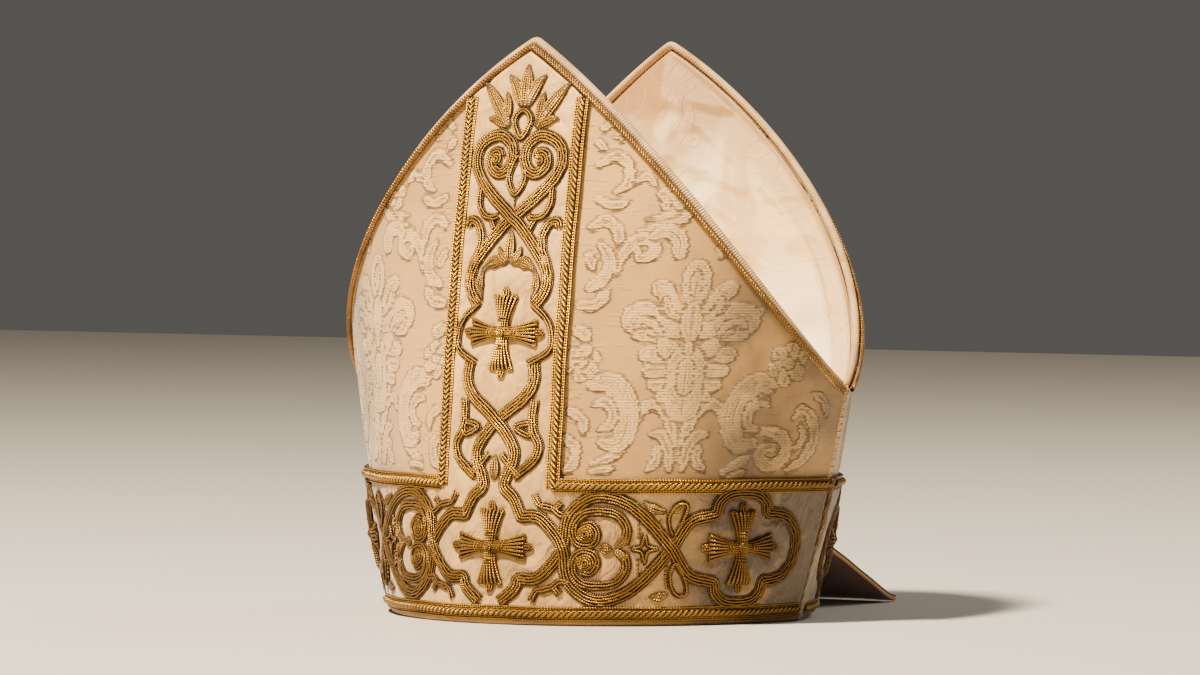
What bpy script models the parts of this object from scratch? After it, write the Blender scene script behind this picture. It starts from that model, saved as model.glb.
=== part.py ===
# A bishop's mitre standing on its hem: two stiff damask panels that lean out to the side
# corners and rise to two horns, a silk web folded into the valley between the horns, an
# embroidered band round the head and another up each horn, gold braids, and two lappets
# that fall from the back band to the surface. Metres, +Z up, the front horn faces -Y.
# The back of the mitre is the front turned half round the vertical axis.
import bmesh
import bpy
import math
from mathutils import Vector

MM = 0.001

# The body, measured over the damask; widths and depths are halves
HEIGHT = 265.0 * MM
CORNER_HEIGHT = 108.8 * MM
HEM_HALF_WIDTH = 101.1 * MM
CORNER_HALF_WIDTH = 128.0 * MM
TIP_HALF_WIDTH = 142.0 * MM
HEM_HALF_DEPTH = 99.1 * MM
CORNER_HALF_DEPTH = 90.4 * MM
TIP_HALF_DEPTH = 63.0 * MM
PANEL_HALF_ANGLE = math.radians(74.6)
SLOPE_SAG = -0.068
SLOPE_OGEE = -0.319

# Walls and the space left between any two layers
PANEL_THICKNESS = 2.0 * MM
LINING_THICKNESS = 1.0 * MM
WEB_THICKNESS = 1.0 * MM
BAND_THICKNESS = 1.0 * MM
GALLOON_THICKNESS = 1.4 * MM
RELIEF_THICKNESS = 1.8 * MM
LAPPET_THICKNESS = 2.0 * MM
CLEARANCE = 0.4 * MM

# The trimmed edge of the horns and the cord down each side seam
ROLL_RADIUS = 1.9 * MM
PIPING_RADIUS = 1.2 * MM
SEAM_CORD_RADIUS = 1.3 * MM
PIPING_INSET = 0.2 * MM

# The web in the valley; its edge hangs slanted, so it stands further off than other layers
WEB_REACH = 0.97
WEB_GAP = 0.6 * MM
FOLD_HALF_WIDTH = 120.0 * MM
FOLD_DROP = 3.0 * MM
FOLD_SAG = 9.0 * MM
FOLD_SOFTNESS = 0.12

# Bands and braids
CIRCULUS_TOP = 65.7 * MM
TITULUS_HALF_WIDTH = 31.7 * MM
GALLOON_WIDTH = 6.3 * MM
MITRE_GAP = 0.6 * MM
HEM_SHOWN = 2.3 * MM

# Crosses and the four-lobed frames round them
CROSS_HALF_WIDTH = 20.4 * MM
CROSS_HALF_HEIGHT = 20.2 * MM
SIDE_CROSS_SPACING = 115.0 * MM
TITULUS_CROSS_HEIGHT = 130.5 * MM
FRAME_HALF_WIDTH = 28.8 * MM
FRAME_HALF_HEIGHT = 24.8 * MM
FRAME_CORD_WIDTH = 3.0 * MM
FRAME_WAIST = 0.64

# Lappets
LAPPET_WIDTH = 44.0 * MM
LAPPET_SPACING = 104.0 * MM
LAPPET_TOP = 57.0 * MM
LAPPET_REACH = 66.0 * MM

# How finely the pieces are divided
PANEL_COLUMNS = 26
PANEL_ROWS = 6
WEB_COLUMNS = 20
WEB_ROWS = 10
TITULUS_COLUMNS = 4
TITULUS_ROWS = 8
BRAID_STEPS = 10
LAPPET_COLUMNS = 4
FRAME_SIDES = 28

WALL = PANEL_THICKNESS + CLEARANCE + LINING_THICKNESS
BAND_FACE = CLEARANCE + BAND_THICKNESS
GALLOON_FACE = BAND_FACE + CLEARANCE + GALLOON_THICKNESS
RELIEF_FACE = BAND_FACE + CLEARANCE + RELIEF_THICKNESS
BAND_MID = (HEM_SHOWN + CIRCULUS_TOP) / 2

# Half a cross arm, from the middle outwards, as shares of the arm and of the half width
CROSS_ARM = (
    # along, half width
    (0.30, 0.13),
    (0.58, 0.15),
    (0.76, 0.25),
    (0.84, 0.27),
    (1.00, 0.05),
)

# A lappet from its sewn top to its free end: how far out, how high and how flat it lies,
# as shares of its reach, of the height where it is sewn, and of a wholly flat cross section
LAPPET_PATH = (
    # out, up, flat
    (0.000, 1.000, 0.0),
    (0.000, 0.840, 0.0),
    (0.003, 0.700, 0.0),
    (0.022, 0.610, 0.1),
    (0.075, 0.545, 0.4),
    (0.170, 0.475, 0.6),
    (0.300, 0.390, 0.8),
    (0.450, 0.300, 0.9),
    (0.620, 0.205, 1.0),
    (0.780, 0.125, 1.0),
    (0.900, 0.070, 1.0),
    (1.000, 0.045, 1.0),
)


def through_three(z, at_hem, at_corner, at_tip):
    """The smooth value at height z of a size given at the hem, the corner and the tip."""
    t = z / HEIGHT
    c = CORNER_HEIGHT / HEIGHT
    return (at_hem * (t - c) * (t - 1) / c
            + at_corner * t * (t - 1) / (c * (c - 1))
            + at_tip * t * (t - c) / (1 - c))


def section(u, z):
    """The front panel's outline at height z, u running from -1 to 1 between the seams."""
    a = through_three(z, HEM_HALF_WIDTH, CORNER_HALF_WIDTH, TIP_HALF_WIDTH)
    b = through_three(z, HEM_HALF_DEPTH, CORNER_HALF_DEPTH, TIP_HALF_DEPTH)
    angle = PANEL_HALF_ANGLE * u
    side = math.sin(PANEL_HALF_ANGLE)
    rise = 1 - math.cos(PANEL_HALF_ANGLE)
    x = a * math.sin(angle) / side
    y = -b * (math.cos(angle) - math.cos(PANEL_HALF_ANGLE)) / rise
    outward = Vector((b * math.sin(angle) / rise, -a * math.cos(angle) / side, 0))
    return x, y, outward.normalized()


GIRTH_STEPS = 120
RIM_TRIES = 12
EDGE_STEP = 0.002
girths = {}


def girth(z):
    """Lengths of cloth from the panel's middle out to the seam, at height z."""
    key = round(z, 6)
    if key not in girths:
        lengths = [0.0]
        last = section(0, z)
        for step in range(1, GIRTH_STEPS + 1):
            here = section(step / GIRTH_STEPS, z)
            lengths.append(lengths[-1] + math.hypot(here[0] - last[0], here[1] - last[1]))
            last = here
        girths[key] = lengths
    return girths[key]


def half_girth(z):
    return girth(z)[-1]


def u_at(s, z):
    """Where a length s of cloth from the panel's middle ends, as a share of the panel."""
    lengths = girth(z)
    far = abs(s)
    for step in range(1, GIRTH_STEPS + 1):
        if lengths[step] >= far or step == GIRTH_STEPS:
            part = (far - lengths[step - 1]) / (lengths[step] - lengths[step - 1])
            return math.copysign((step - 1 + part) / GIRTH_STEPS, s)


def on_panel(u, z, offset):
    x, y, outward = section(u, z)
    return Vector((x, y, z)) + outward * offset


def on_cloth(s, z, offset):
    return on_panel(u_at(s, z), z, offset)


def seam_lean():
    """How far the wall leans across the seam plane for each unit of its thickness."""
    return max(abs(section(1, z)[2].y) for z in (0, CORNER_HEIGHT))


SEAM_SETBACK = WALL * seam_lean() + CLEARANCE / 2
BAND_SETBACK = SEAM_CORD_RADIUS + CLEARANCE
SLOPE = math.hypot(1, (HEIGHT - CORNER_HEIGHT) / half_girth(CORNER_HEIGHT))
RIM_DROP = (2 * ROLL_RADIUS + CLEARANCE) * SLOPE
TRIM_DROP = (PIPING_INSET + PIPING_RADIUS + CLEARANCE) * SLOPE


def rim(u):
    """The height of the walls' cut edge along the slope of a horn."""
    t = 1 - abs(u)
    curve = t + SLOPE_SAG * t * (1 - t) + SLOPE_OGEE * t * (1 - t) * (1 - 2 * t)
    return CORNER_HEIGHT + (HEIGHT - CORNER_HEIGHT) * curve - RIM_DROP


def rim_over(s):
    """The height of the cut edge over a length s of cloth from the panel's middle."""
    z = HEIGHT
    for attempt in range(RIM_TRIES):
        z = rim(u_at(s, z))
    return z


def seam_u(z, setback):
    return u_at(half_girth(z) - setback, z)


# Materials
def material(name, colour, roughness, metallic=0.0):
    made = bpy.data.materials.new(name)
    made.use_nodes = True
    shader = made.node_tree.nodes["Principled BSDF"]
    shader.inputs["Base Color"].default_value = (*colour, 1)
    shader.inputs["Roughness"].default_value = roughness
    shader.inputs["Metallic"].default_value = metallic
    return made


# Builders
def add_object(name, data, finish):
    made = bpy.data.objects.new(name, data)
    made.data.materials.append(finish)
    mitre.objects.link(made)
    made.parent = footprint
    return made


def thicken(piece, thickness):
    wall = piece.modifiers.new("wall", "SOLIDIFY")
    wall.thickness = thickness
    wall.offset = -1
    wall.use_even_offset = True


def sheet(name, columns, rows, place, thickness, finish):
    """A wall of cloth or braid: a grid put in place by place(across, up), then thickened."""
    bm = bmesh.new()
    bmesh.ops.create_grid(bm, x_segments=columns, y_segments=rows, size=1)
    for vert in bm.verts:
        vert.co = place(vert.co.x, (vert.co.y + 1) / 2)
    mesh = bpy.data.meshes.new(name)
    bm.to_mesh(mesh)
    bm.free()
    piece = add_object(name, mesh, finish)
    thicken(piece, thickness)
    return piece


def stand_flat(piece):
    """Bakes a wall's thickness and sets its whole lower edge on the surface."""
    bpy.context.view_layer.update()
    seen = piece.evaluated_get(bpy.context.evaluated_depsgraph_get())
    mesh = bpy.data.meshes.new_from_object(seen)
    piece.modifiers.clear()
    for vert in mesh.vertices:
        if vert.co.z < PANEL_THICKNESS:
            vert.co.z = 0
    piece.data = mesh


def tube(name, points, radius, sides_level, finish):
    curve = bpy.data.curves.new(name, "CURVE")
    curve.dimensions = "3D"
    spline = curve.splines.new("POLY")
    spline.points.add(len(points) - 1)
    for spot, point in zip(spline.points, points):
        spot.co = (*point, 1)
    curve.bevel_depth = radius
    curve.bevel_resolution = sides_level
    curve.use_fill_caps = True
    return add_object(name, curve, finish)


def turned_to_back(front, name):
    """The same piece on the back of the mitre, with a mesh or curve of its own."""
    back = front.copy()
    back.data = front.data.copy()
    back.name = name
    back.rotation_euler.z = math.pi
    mitre.objects.link(back)
    return back


def body():
    def laid(offset):
        def place(across, up):
            z = up * rim(across)
            return on_panel(across * seam_u(z, SEAM_SETBACK), z, offset)
        return place
    panel = sheet("front_panel", PANEL_COLUMNS, PANEL_ROWS, laid(0), PANEL_THICKNESS, damask)
    stand_flat(panel)
    turned_to_back(panel, "back_panel")
    inside = -(PANEL_THICKNESS + CLEARANCE)
    lining = sheet("front_lining", PANEL_COLUMNS, PANEL_ROWS, laid(inside), LINING_THICKNESS,
                   lining_cloth)
    stand_flat(lining)
    turned_to_back(lining, "back_lining")


def web():
    inset = WALL + WEB_GAP + WEB_THICKNESS

    def place(across, up):
        u = across * WEB_REACH
        top = on_panel(u, rim(u) - WEB_THICKNESS, -inset)
        sewn = on_panel(WEB_REACH, rim(WEB_REACH) - WEB_THICKNESS, -inset)
        share = top.x / sewn.x
        fold = Vector((FOLD_HALF_WIDTH * share, 0,
                       sewn.z - FOLD_DROP - FOLD_SAG * (1 - share * share)))
        out = abs(2 * up - 1)
        soft = FOLD_SOFTNESS
        climb = (math.hypot(out, soft) - soft) / (math.hypot(1, soft) - soft)
        point = Vector((fold.x + (top.x - fold.x) * climb, top.y * out,
                        fold.z + (top.z - fold.z) * climb))
        if up > 0.5:
            point.y = -point.y
        return point
    sheet("crown_web", WEB_COLUMNS, WEB_ROWS, place, WEB_THICKNESS, web_silk)


def bands():
    def round_head(across, up):
        z = HEM_SHOWN + GALLOON_WIDTH / 2 + up * (CIRCULUS_TOP - HEM_SHOWN - GALLOON_WIDTH)
        return on_panel(across * seam_u(z, BAND_SETBACK), z, BAND_FACE)
    circulus = sheet("front_circulus", PANEL_COLUMNS, 2, round_head, BAND_THICKNESS, band_silk)
    turned_to_back(circulus, "back_circulus")

    def up_horn(across, up):
        s = across * (TITULUS_HALF_WIDTH - GALLOON_WIDTH / 2)
        low = CIRCULUS_TOP - GALLOON_WIDTH / 2 + CLEARANCE
        return on_cloth(s, low + up * (rim_over(s) - TRIM_DROP - low), BAND_FACE)
    titulus = sheet("front_titulus", TITULUS_COLUMNS, TITULUS_ROWS, up_horn, BAND_THICKNESS,
                    band_silk)
    turned_to_back(titulus, "back_titulus")


def galloons():
    """Flat gold braids over the bands' edges, mitred where an upright meets a level one."""
    inner = TITULUS_HALF_WIDTH - GALLOON_WIDTH
    low = CIRCULUS_TOP - GALLOON_WIDTH
    for side, word in ((-1, "left"), (1, "right")):
        def upright(across, up, side=side):
            s = side * (inner + GALLOON_WIDTH / 2) + across * GALLOON_WIDTH / 2
            z = low + abs(s) - inner
            return on_cloth(s, z + up * (rim_over(s) - TRIM_DROP - z), GALLOON_FACE)
        made = sheet("front_upright_galloon_" + word, 1, BRAID_STEPS, upright, GALLOON_THICKNESS,
                     gold_braid)
        turned_to_back(made, "back_upright_galloon_" + word)

        def level(across, up, side=side):
            z = low + up * GALLOON_WIDTH
            start = inner + up * GALLOON_WIDTH + MITRE_GAP
            end = half_girth(z) - BAND_SETBACK
            along = (1 + side * across) / 2
            return on_cloth(side * (start + along * (end - start)), z, GALLOON_FACE)
        made = sheet("front_upper_galloon_" + word, BRAID_STEPS, 1, level, GALLOON_THICKNESS,
                     gold_braid)
        turned_to_back(made, "back_upper_galloon_" + word)

    def lower(across, up):
        z = HEM_SHOWN + up * GALLOON_WIDTH
        return on_panel(across * seam_u(z, BAND_SETBACK), z, GALLOON_FACE)
    made = sheet("front_lower_galloon", PANEL_COLUMNS, 1, lower, GALLOON_THICKNESS, gold_braid)
    turned_to_back(made, "back_lower_galloon")


def rim_frame(u, offset):
    """A point on the cut edge and the way straight out of it along the cloth."""
    here = on_panel(u, rim(u), offset)
    step = EDGE_STEP if u >= 0 else -EDGE_STEP
    ahead = on_panel(u + step, rim(u + step), offset) - here
    away = section(u, rim(u))[2].cross(ahead).normalized()
    return here, away if away.z > 0 else -away


def horn_edges():
    """A padded roll on the cut edge of each horn and a gold piping on the face below it."""
    reach = seam_u(CORNER_HEIGHT, SEAM_SETBACK + ROLL_RADIUS + CLEARANCE)
    steps = PANEL_COLUMNS // 2
    shares = [step / steps for step in range(steps, 0, -1)]
    roll = []
    piping = []
    middle = -WALL / 2
    face = CLEARANCE + PIPING_RADIUS
    for side in (-1, 1):
        for share in (shares if side < 0 else reversed(shares)):
            here, away = rim_frame(side * share * reach, middle)
            roll.append(here + away * (CLEARANCE + ROLL_RADIUS))
            here, away = rim_frame(side * share * reach, face)
            piping.append(here - away * PIPING_INSET)
        if side < 0:
            lean = rim_frame(-2 * EDGE_STEP, middle)[1]
            for turn in (-1.0, -0.5, 0.0, 0.5, 1.0):
                away = Vector((-turn * lean.x, lean.y, lean.z)).normalized()
                roll.append(on_panel(0, rim(0), middle) + away * (CLEARANCE + ROLL_RADIUS))
            piping.append(on_panel(0, rim(0) - 2 * PIPING_INSET, face))
    turned_to_back(tube("front_edge_roll", roll, ROLL_RADIUS, 2, padded_silk), "back_edge_roll")
    turned_to_back(tube("front_piping", piping, PIPING_RADIUS, 1, gold_cord), "back_piping")


def seam_cords():
    stand_off = CLEARANCE + SEAM_CORD_RADIUS
    route = []
    for step in range(PANEL_ROWS + 1):
        z = HEM_SHOWN + (CIRCULUS_TOP - HEM_SHOWN) * step / PANEL_ROWS
        route.append(Vector((section(1, z)[0] + stand_off, 0, z)))
    turned_to_back(tube("right_seam_cord", route, SEAM_CORD_RADIUS, 1, worn_cord), "left_seam_cord")


def flat_cross(name, s0, z0):
    """A padded cross with flared arms: a square extruded four ways, then laid on the band."""
    bm = bmesh.new()
    bmesh.ops.create_grid(bm, x_segments=1, y_segments=1, size=CROSS_ARM[0][1] * CROSS_HALF_WIDTH)
    ways = [Vector(way) for way in ((1, 0, 0), (-1, 0, 0), (0, 1, 0), (0, -1, 0))]
    starts = [max(bm.edges, key=lambda e: (e.verts[0].co + e.verts[1].co).dot(way)) for way in ways]
    for way, edge in zip(ways, starts):
        reach = CROSS_HALF_WIDTH if way.x else CROSS_HALF_HEIGHT
        for along, half in CROSS_ARM:
            made = bmesh.ops.extrude_edge_only(bm, edges=[edge])["geom"]
            edge = next(g for g in made if isinstance(g, bmesh.types.BMEdge) and g.is_boundary
                        and all(v in made for v in g.verts))
            for vert in edge.verts:
                across = vert.co - way * vert.co.dot(way)
                vert.co = way * along * reach + across.normalized() * half * CROSS_HALF_WIDTH
    bmesh.ops.recalc_face_normals(bm, faces=bm.faces)
    if sum(face.normal.z for face in bm.faces) < 0:
        bmesh.ops.reverse_faces(bm, faces=bm.faces)
    for vert in bm.verts:
        vert.co = on_cloth(s0 + vert.co.x, z0 + vert.co.y, RELIEF_FACE)
    mesh = bpy.data.meshes.new(name)
    bm.to_mesh(mesh)
    bm.free()
    piece = add_object(name, mesh, gold_relief)
    thicken(piece, RELIEF_THICKNESS)
    return piece


def lobed_frame(name, s0, z0, half_width, half_height):
    """The four-lobed cord frame round a cross: two rings bridged, then laid on the band."""
    bm = bmesh.new()
    inside = bmesh.ops.create_circle(bm, segments=FRAME_SIDES, radius=half_width / 2)["verts"]
    bmesh.ops.create_circle(bm, segments=FRAME_SIDES, radius=half_width)
    bmesh.ops.bridge_loops(bm, edges=bm.edges[:])
    bmesh.ops.recalc_face_normals(bm, faces=bm.faces)
    if sum(face.normal.z for face in bm.faces) < 0:
        bmesh.ops.reverse_faces(bm, faces=bm.faces)
    for vert in bm.verts:
        turn = math.atan2(vert.co.y, vert.co.x)
        lobe = (1 + FRAME_WAIST) / 2 + (1 - FRAME_WAIST) / 2 * math.cos(4 * turn)
        cord = FRAME_CORD_WIDTH if vert in inside else 0
        across = (half_width * lobe - cord) * math.cos(turn)
        up = (half_height * lobe - cord) * math.sin(turn)
        vert.co = on_cloth(s0 + across, z0 + up, RELIEF_FACE)
    mesh = bpy.data.meshes.new(name)
    bm.to_mesh(mesh)
    bm.free()
    piece = add_object(name, mesh, gold_relief)
    thicken(piece, RELIEF_THICKNESS)
    return piece


def ornaments():
    titulus_room = TITULUS_HALF_WIDTH - GALLOON_WIDTH - CLEARANCE
    spots = (
        # name, length of cloth from the middle, height, room for the frame
        ("titulus", 0, TITULUS_CROSS_HEIGHT, titulus_room),
        ("middle", 0, BAND_MID, FRAME_HALF_WIDTH),
        ("left", -SIDE_CROSS_SPACING, BAND_MID, FRAME_HALF_WIDTH),
        ("right", SIDE_CROSS_SPACING, BAND_MID, FRAME_HALF_WIDTH),
    )
    for word, s, z, room in spots:
        cross = flat_cross("front_cross_" + word, s, z)
        turned_to_back(cross, "back_cross_" + word)
        width = min(room, FRAME_HALF_WIDTH)
        frame = lobed_frame("front_frame_" + word, s, z, width, FRAME_HALF_HEIGHT)
        turned_to_back(frame, "back_frame_" + word)


def lappets():
    """Two stiff silk bands sewn on the back, falling straight out to the surface."""
    rows = len(LAPPET_PATH) - 1
    face = BAND_FACE + CLEARANCE + LAPPET_THICKNESS
    for side, word in ((1, "left"), (-1, "right")):
        middle = side * LAPPET_SPACING / 2

        def place(across, up, middle=middle):
            out, high, flat = LAPPET_PATH[rows - round(up * rows)]
            z = max(high * LAPPET_TOP, LAPPET_THICKNESS + CLEARANCE)
            bent = on_cloth(middle + across * LAPPET_WIDTH / 2, z, face)
            level = on_cloth(middle, z, face) + Vector((across * LAPPET_WIDTH / 2, 0, 0))
            return bent.lerp(level, flat) - Vector((0, out * LAPPET_REACH, 0))
        piece = sheet("lappet_" + word, LAPPET_COLUMNS, rows, place, LAPPET_THICKNESS, lappet_silk)
        piece.rotation_euler.z = math.pi


for old in list(bpy.data.objects):
    bpy.data.objects.remove(old)

mitre = bpy.data.collections.new("bishop_mitre")
bpy.context.scene.collection.children.link(mitre)

# The origin is the middle of the footprint: the lappets reach further back than the hem does
front_reach = HEM_HALF_DEPTH + GALLOON_FACE
lappet_height = LAPPET_PATH[-1][1] * LAPPET_TOP
lappet_root = on_cloth(LAPPET_SPACING / 2, lappet_height, BAND_FACE + CLEARANCE + LAPPET_THICKNESS)
back_reach = LAPPET_REACH - lappet_root.y
footprint = bpy.data.objects.new("footprint", None)
footprint.location.y = (front_reach - back_reach) / 2
mitre.objects.link(footprint)

damask = material("damask", (0.62, 0.50, 0.34), 0.5)
lining_cloth = material("lining", (0.72, 0.62, 0.46), 0.7)
web_silk = material("web_silk", (0.80, 0.68, 0.50), 0.45)
band_silk = material("band_silk", (0.72, 0.58, 0.38), 0.45)
padded_silk = material("edge_silk", (0.66, 0.52, 0.34), 0.5)
gold_braid = material("gold_braid", (0.55, 0.36, 0.12), 0.35, 0.7)
gold_cord = material("gold_cord", (0.52, 0.33, 0.10), 0.35, 0.7)
gold_relief = material("gold_relief", (0.50, 0.31, 0.09), 0.35, 0.7)
worn_cord = material("worn_cord", (0.42, 0.32, 0.20), 0.55, 0.3)
lappet_silk = material("lappet_silk", (0.60, 0.44, 0.28), 0.55)

body()
web()
bands()
galloons()
horn_edges()
seam_cords()
ornaments()
lappets()
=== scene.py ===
# A bishop's mitre standing on its hem: damask walls, a silk web in the valley between the
# horns, gold embroidered bands, gold braids and two lappets.
# The ornament is drawn flat, in millimetres of cloth from the middle of a panel and of
# height over the table, and is then wrapped on the curved wall.
import bpy
import math
import numpy as np
from mathutils import Matrix, Vector


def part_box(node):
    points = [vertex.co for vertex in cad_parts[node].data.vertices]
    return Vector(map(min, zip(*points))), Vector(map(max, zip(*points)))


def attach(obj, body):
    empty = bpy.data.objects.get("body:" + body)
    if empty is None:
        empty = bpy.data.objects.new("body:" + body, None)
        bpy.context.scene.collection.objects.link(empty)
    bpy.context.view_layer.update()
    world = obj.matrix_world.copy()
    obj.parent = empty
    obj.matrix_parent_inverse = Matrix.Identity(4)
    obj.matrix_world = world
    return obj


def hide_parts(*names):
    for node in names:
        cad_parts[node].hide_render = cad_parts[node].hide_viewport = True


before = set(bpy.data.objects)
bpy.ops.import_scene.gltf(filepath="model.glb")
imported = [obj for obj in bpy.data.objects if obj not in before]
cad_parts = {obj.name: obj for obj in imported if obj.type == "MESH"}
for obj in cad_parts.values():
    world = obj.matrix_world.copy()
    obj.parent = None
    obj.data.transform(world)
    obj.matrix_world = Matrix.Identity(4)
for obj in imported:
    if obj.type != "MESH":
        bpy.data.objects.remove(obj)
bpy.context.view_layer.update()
mm = 0.001
axisY = (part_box("front_panel")[0].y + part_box("back_panel")[1].y) / 2 / mm
print("frame loaded, the mitre's own axis lies at y", round(axisY, 2), "mm")

# The walls, as in the CAD part: half widths and half depths at the hem, the corner and the tip
mitre = {
    "height": 265.0,
    "corner": 108.8,
    "halfWidths": (101.1, 128.0, 142.0),
    "halfDepths": (99.1, 90.4, 63.0),
    "halfAngle": math.radians(74.6),
    "sag": -0.068,
    "ogee": -0.319,
    "panel": 2.0,
    "lining": 1.0,
    "clearance": 0.4,
    "roll": 1.9,
    "piping": 1.2,
    "pipingInset": 0.2,
    "seamCord": 1.3,
    "bandFace": 1.4,
    "circulusTop": 65.7,
    "titulusHalf": 31.7,
    "galloon": 6.3,
    "hemShown": 2.3,
}
wall = mitre["panel"] + mitre["clearance"] + mitre["lining"]


def atHeight(z, sizes):
    t = z / mitre["height"]
    c = mitre["corner"] / mitre["height"]
    return (sizes[0] * (t - c) * (t - 1) / c
            + sizes[1] * t * (t - 1) / (c * (c - 1))
            + sizes[2] * t * (t - c) / (1 - c))


def section(u, z):
    a = atHeight(z, mitre["halfWidths"])
    b = atHeight(z, mitre["halfDepths"])
    full = mitre["halfAngle"]
    side, rise = math.sin(full), 1 - math.cos(full)
    x = a * np.sin(full * u) / side
    y = -b * (np.cos(full * u) - math.cos(full)) / rise
    nx = b * np.sin(full * u) / rise
    ny = -a * np.cos(full * u) / side
    size = np.hypot(nx, ny)
    return x, y, nx / size, ny / size


# Lengths of cloth round the wall at a row of heights, and the way back from a length to u
rowZ = np.linspace(-6, 272, 140)
rowU = np.linspace(0, 1, 161)
gridX, gridY, gridNx, gridNy = section(rowU[None, :], rowZ[:, None])
lengths = np.concatenate([np.zeros((len(rowZ), 1)),
                          np.cumsum(np.hypot(np.diff(gridX), np.diff(gridY)), axis=1)], axis=1)
uOfShare = np.array([np.interp(rowU * row[-1], row, rowU) for row in lengths])


def halfGirth(z):
    return np.interp(z, rowZ, lengths[:, -1])


def uAt(s, z):
    share = np.abs(s) / halfGirth(z)
    inside = np.clip(share, 0, 1)
    zi = np.clip((z - rowZ[0]) / (rowZ[1] - rowZ[0]), 0, len(rowZ) - 1.001)
    qi = np.clip(inside * (len(rowU) - 1), 0, len(rowU) - 1.001)
    z0, q0 = zi.astype(int), qi.astype(int)
    fz, fq = zi - z0, qi - q0
    u = ((uOfShare[z0, q0] * (1 - fq) + uOfShare[z0, q0 + 1] * fq) * (1 - fz)
         + (uOfShare[z0 + 1, q0] * (1 - fq) + uOfShare[z0 + 1, q0 + 1] * fq) * fz)
    return np.copysign(u + share - inside, s)


def onWall(u, z, lift):
    x, y, nx, ny = section(u, z)
    return np.stack([x + nx * lift, y + ny * lift + axisY, z + 0 * x], 1) * mm


def wrap(flat):
    return onWall(uAt(flat[:, 0], flat[:, 1]), flat[:, 1], flat[:, 2])


slope = math.hypot(1, (mitre["height"] - mitre["corner"]) / halfGirth(mitre["corner"]))
rimDrop = (2 * mitre["roll"] + mitre["clearance"]) * slope
trimDrop = (mitre["pipingInset"] + mitre["piping"] + mitre["clearance"]) * slope


def rim(u):
    t = 1 - np.abs(u)
    curve = t + mitre["sag"] * t * (1 - t) + mitre["ogee"] * t * (1 - t) * (1 - 2 * t)
    return mitre["corner"] + (mitre["height"] - mitre["corner"]) * curve - rimDrop


def rimOver(s):
    z = np.full_like(np.asarray(s, float), mitre["height"])
    for attempt in range(14):
        z = rim(uAt(np.asarray(s, float), z))
    return z


def seamU(z, setback):
    return uAt(halfGirth(z) - setback, z)


# Small tools
def makeActive(piece):
    bpy.ops.object.select_all(action="DESELECT")
    piece.select_set(True)
    bpy.context.view_layer.objects.active = piece


def applyModifier(piece, kind, **settings):
    makeActive(piece)
    modifier = piece.modifiers.new(kind.lower(), kind)
    for key, value in settings.items():
        setattr(modifier, key, value)
    bpy.ops.object.modifier_apply(modifier=modifier.name)


def setAttribute(piece, name, values):
    attribute = piece.data.attributes.new(name, "FLOAT", "POINT")
    attribute.data.foreach_set("value", np.asarray(values, np.float32))


def thicken(piece, thickness, **settings):
    applyModifier(piece, "SOLIDIFY", thickness=thickness * mm, offset=-1, **settings)


def clothGrid(name, columns, rows, place, finish):
    # a grid added flat, then laid in place; its UV map holds the cloth's own measure / 100
    bpy.ops.object.select_all(action="DESELECT")
    bpy.ops.mesh.primitive_grid_add(x_subdivisions=columns, y_subdivisions=rows, size=2)
    piece = bpy.context.object
    mesh = piece.data
    piece.name = mesh.name = name
    co = np.empty(len(mesh.vertices) * 3)
    mesh.vertices.foreach_get("co", co)
    points, flat = place(co[::3], (co[1::3] + 1) / 2)
    mesh.vertices.foreach_set("co", points.ravel())
    at = np.empty(len(mesh.loops), int)
    mesh.loops.foreach_get("vertex_index", at)
    mesh.uv_layers[0].name = "Flat"
    mesh.uv_layers[0].data.foreach_set("uv", (flat[at] / 100).ravel())
    mesh.materials.append(finish)
    mesh.update()
    makeActive(piece)
    bpy.ops.object.shade_smooth()
    return piece


def meshPiece(name, points, faces, uv, finish):
    mesh = bpy.data.meshes.new(name)
    mesh.from_pydata(points.tolist(), [], faces)
    mesh.uv_layers.new(name="Cord").data.foreach_set("uv", uv.ravel())
    mesh.materials.append(finish)
    piece = bpy.data.objects.new(name, mesh)
    bpy.context.scene.collection.objects.link(piece)
    makeActive(piece)
    bpy.ops.object.shade_smooth()
    return piece


def patchPiece(name, parts, uvParts, finish, thickness, turned=1):
    # many small grids of one size, wrapped on the wall as one piece
    rows, columns = parts[0].shape[:2]
    i, j = np.meshgrid(np.arange(rows - 1), np.arange(columns - 1), indexing="ij")
    first = i * columns + j
    quad = np.stack([first, first + columns, first + columns + 1, first + 1], -1).reshape(-1, 4)[:, ::turned]
    faces = np.concatenate([quad + k * rows * columns for k in range(len(parts))])
    verts, uv = (np.concatenate([part.reshape(rows * columns, -1) for part in some]) for some in (parts, uvParts))
    piece = meshPiece(name, wrap(verts), faces.tolist(), uv[faces.ravel()], finish)
    thicken(piece, thickness)
    return piece


halfTurn = (Matrix.Translation((0, axisY * mm, 0)) @ Matrix.Rotation(math.pi, 4, "Z")
            @ Matrix.Translation((0, -axisY * mm, 0)))


def settle(piece, slot, *nodes):
    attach(piece, "root")
    if nodes:
        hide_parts(*nodes)


def bothSides(piece, slot, *nodes):
    # the front piece and its copy on the back, each for the nodes of its own side
    twin = piece.copy()
    twin.data = piece.data.copy()
    twin.name = twin.data.name = piece.name.replace("front_", "back_")
    bpy.context.scene.collection.objects.link(twin)
    twin.data.transform(halfTurn)
    pair = ((piece, "front_"), (twin, "back_"))
    for shown, side in pair:
        settle(shown, slot, *[side + node for node in nodes])
    return pair


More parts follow.
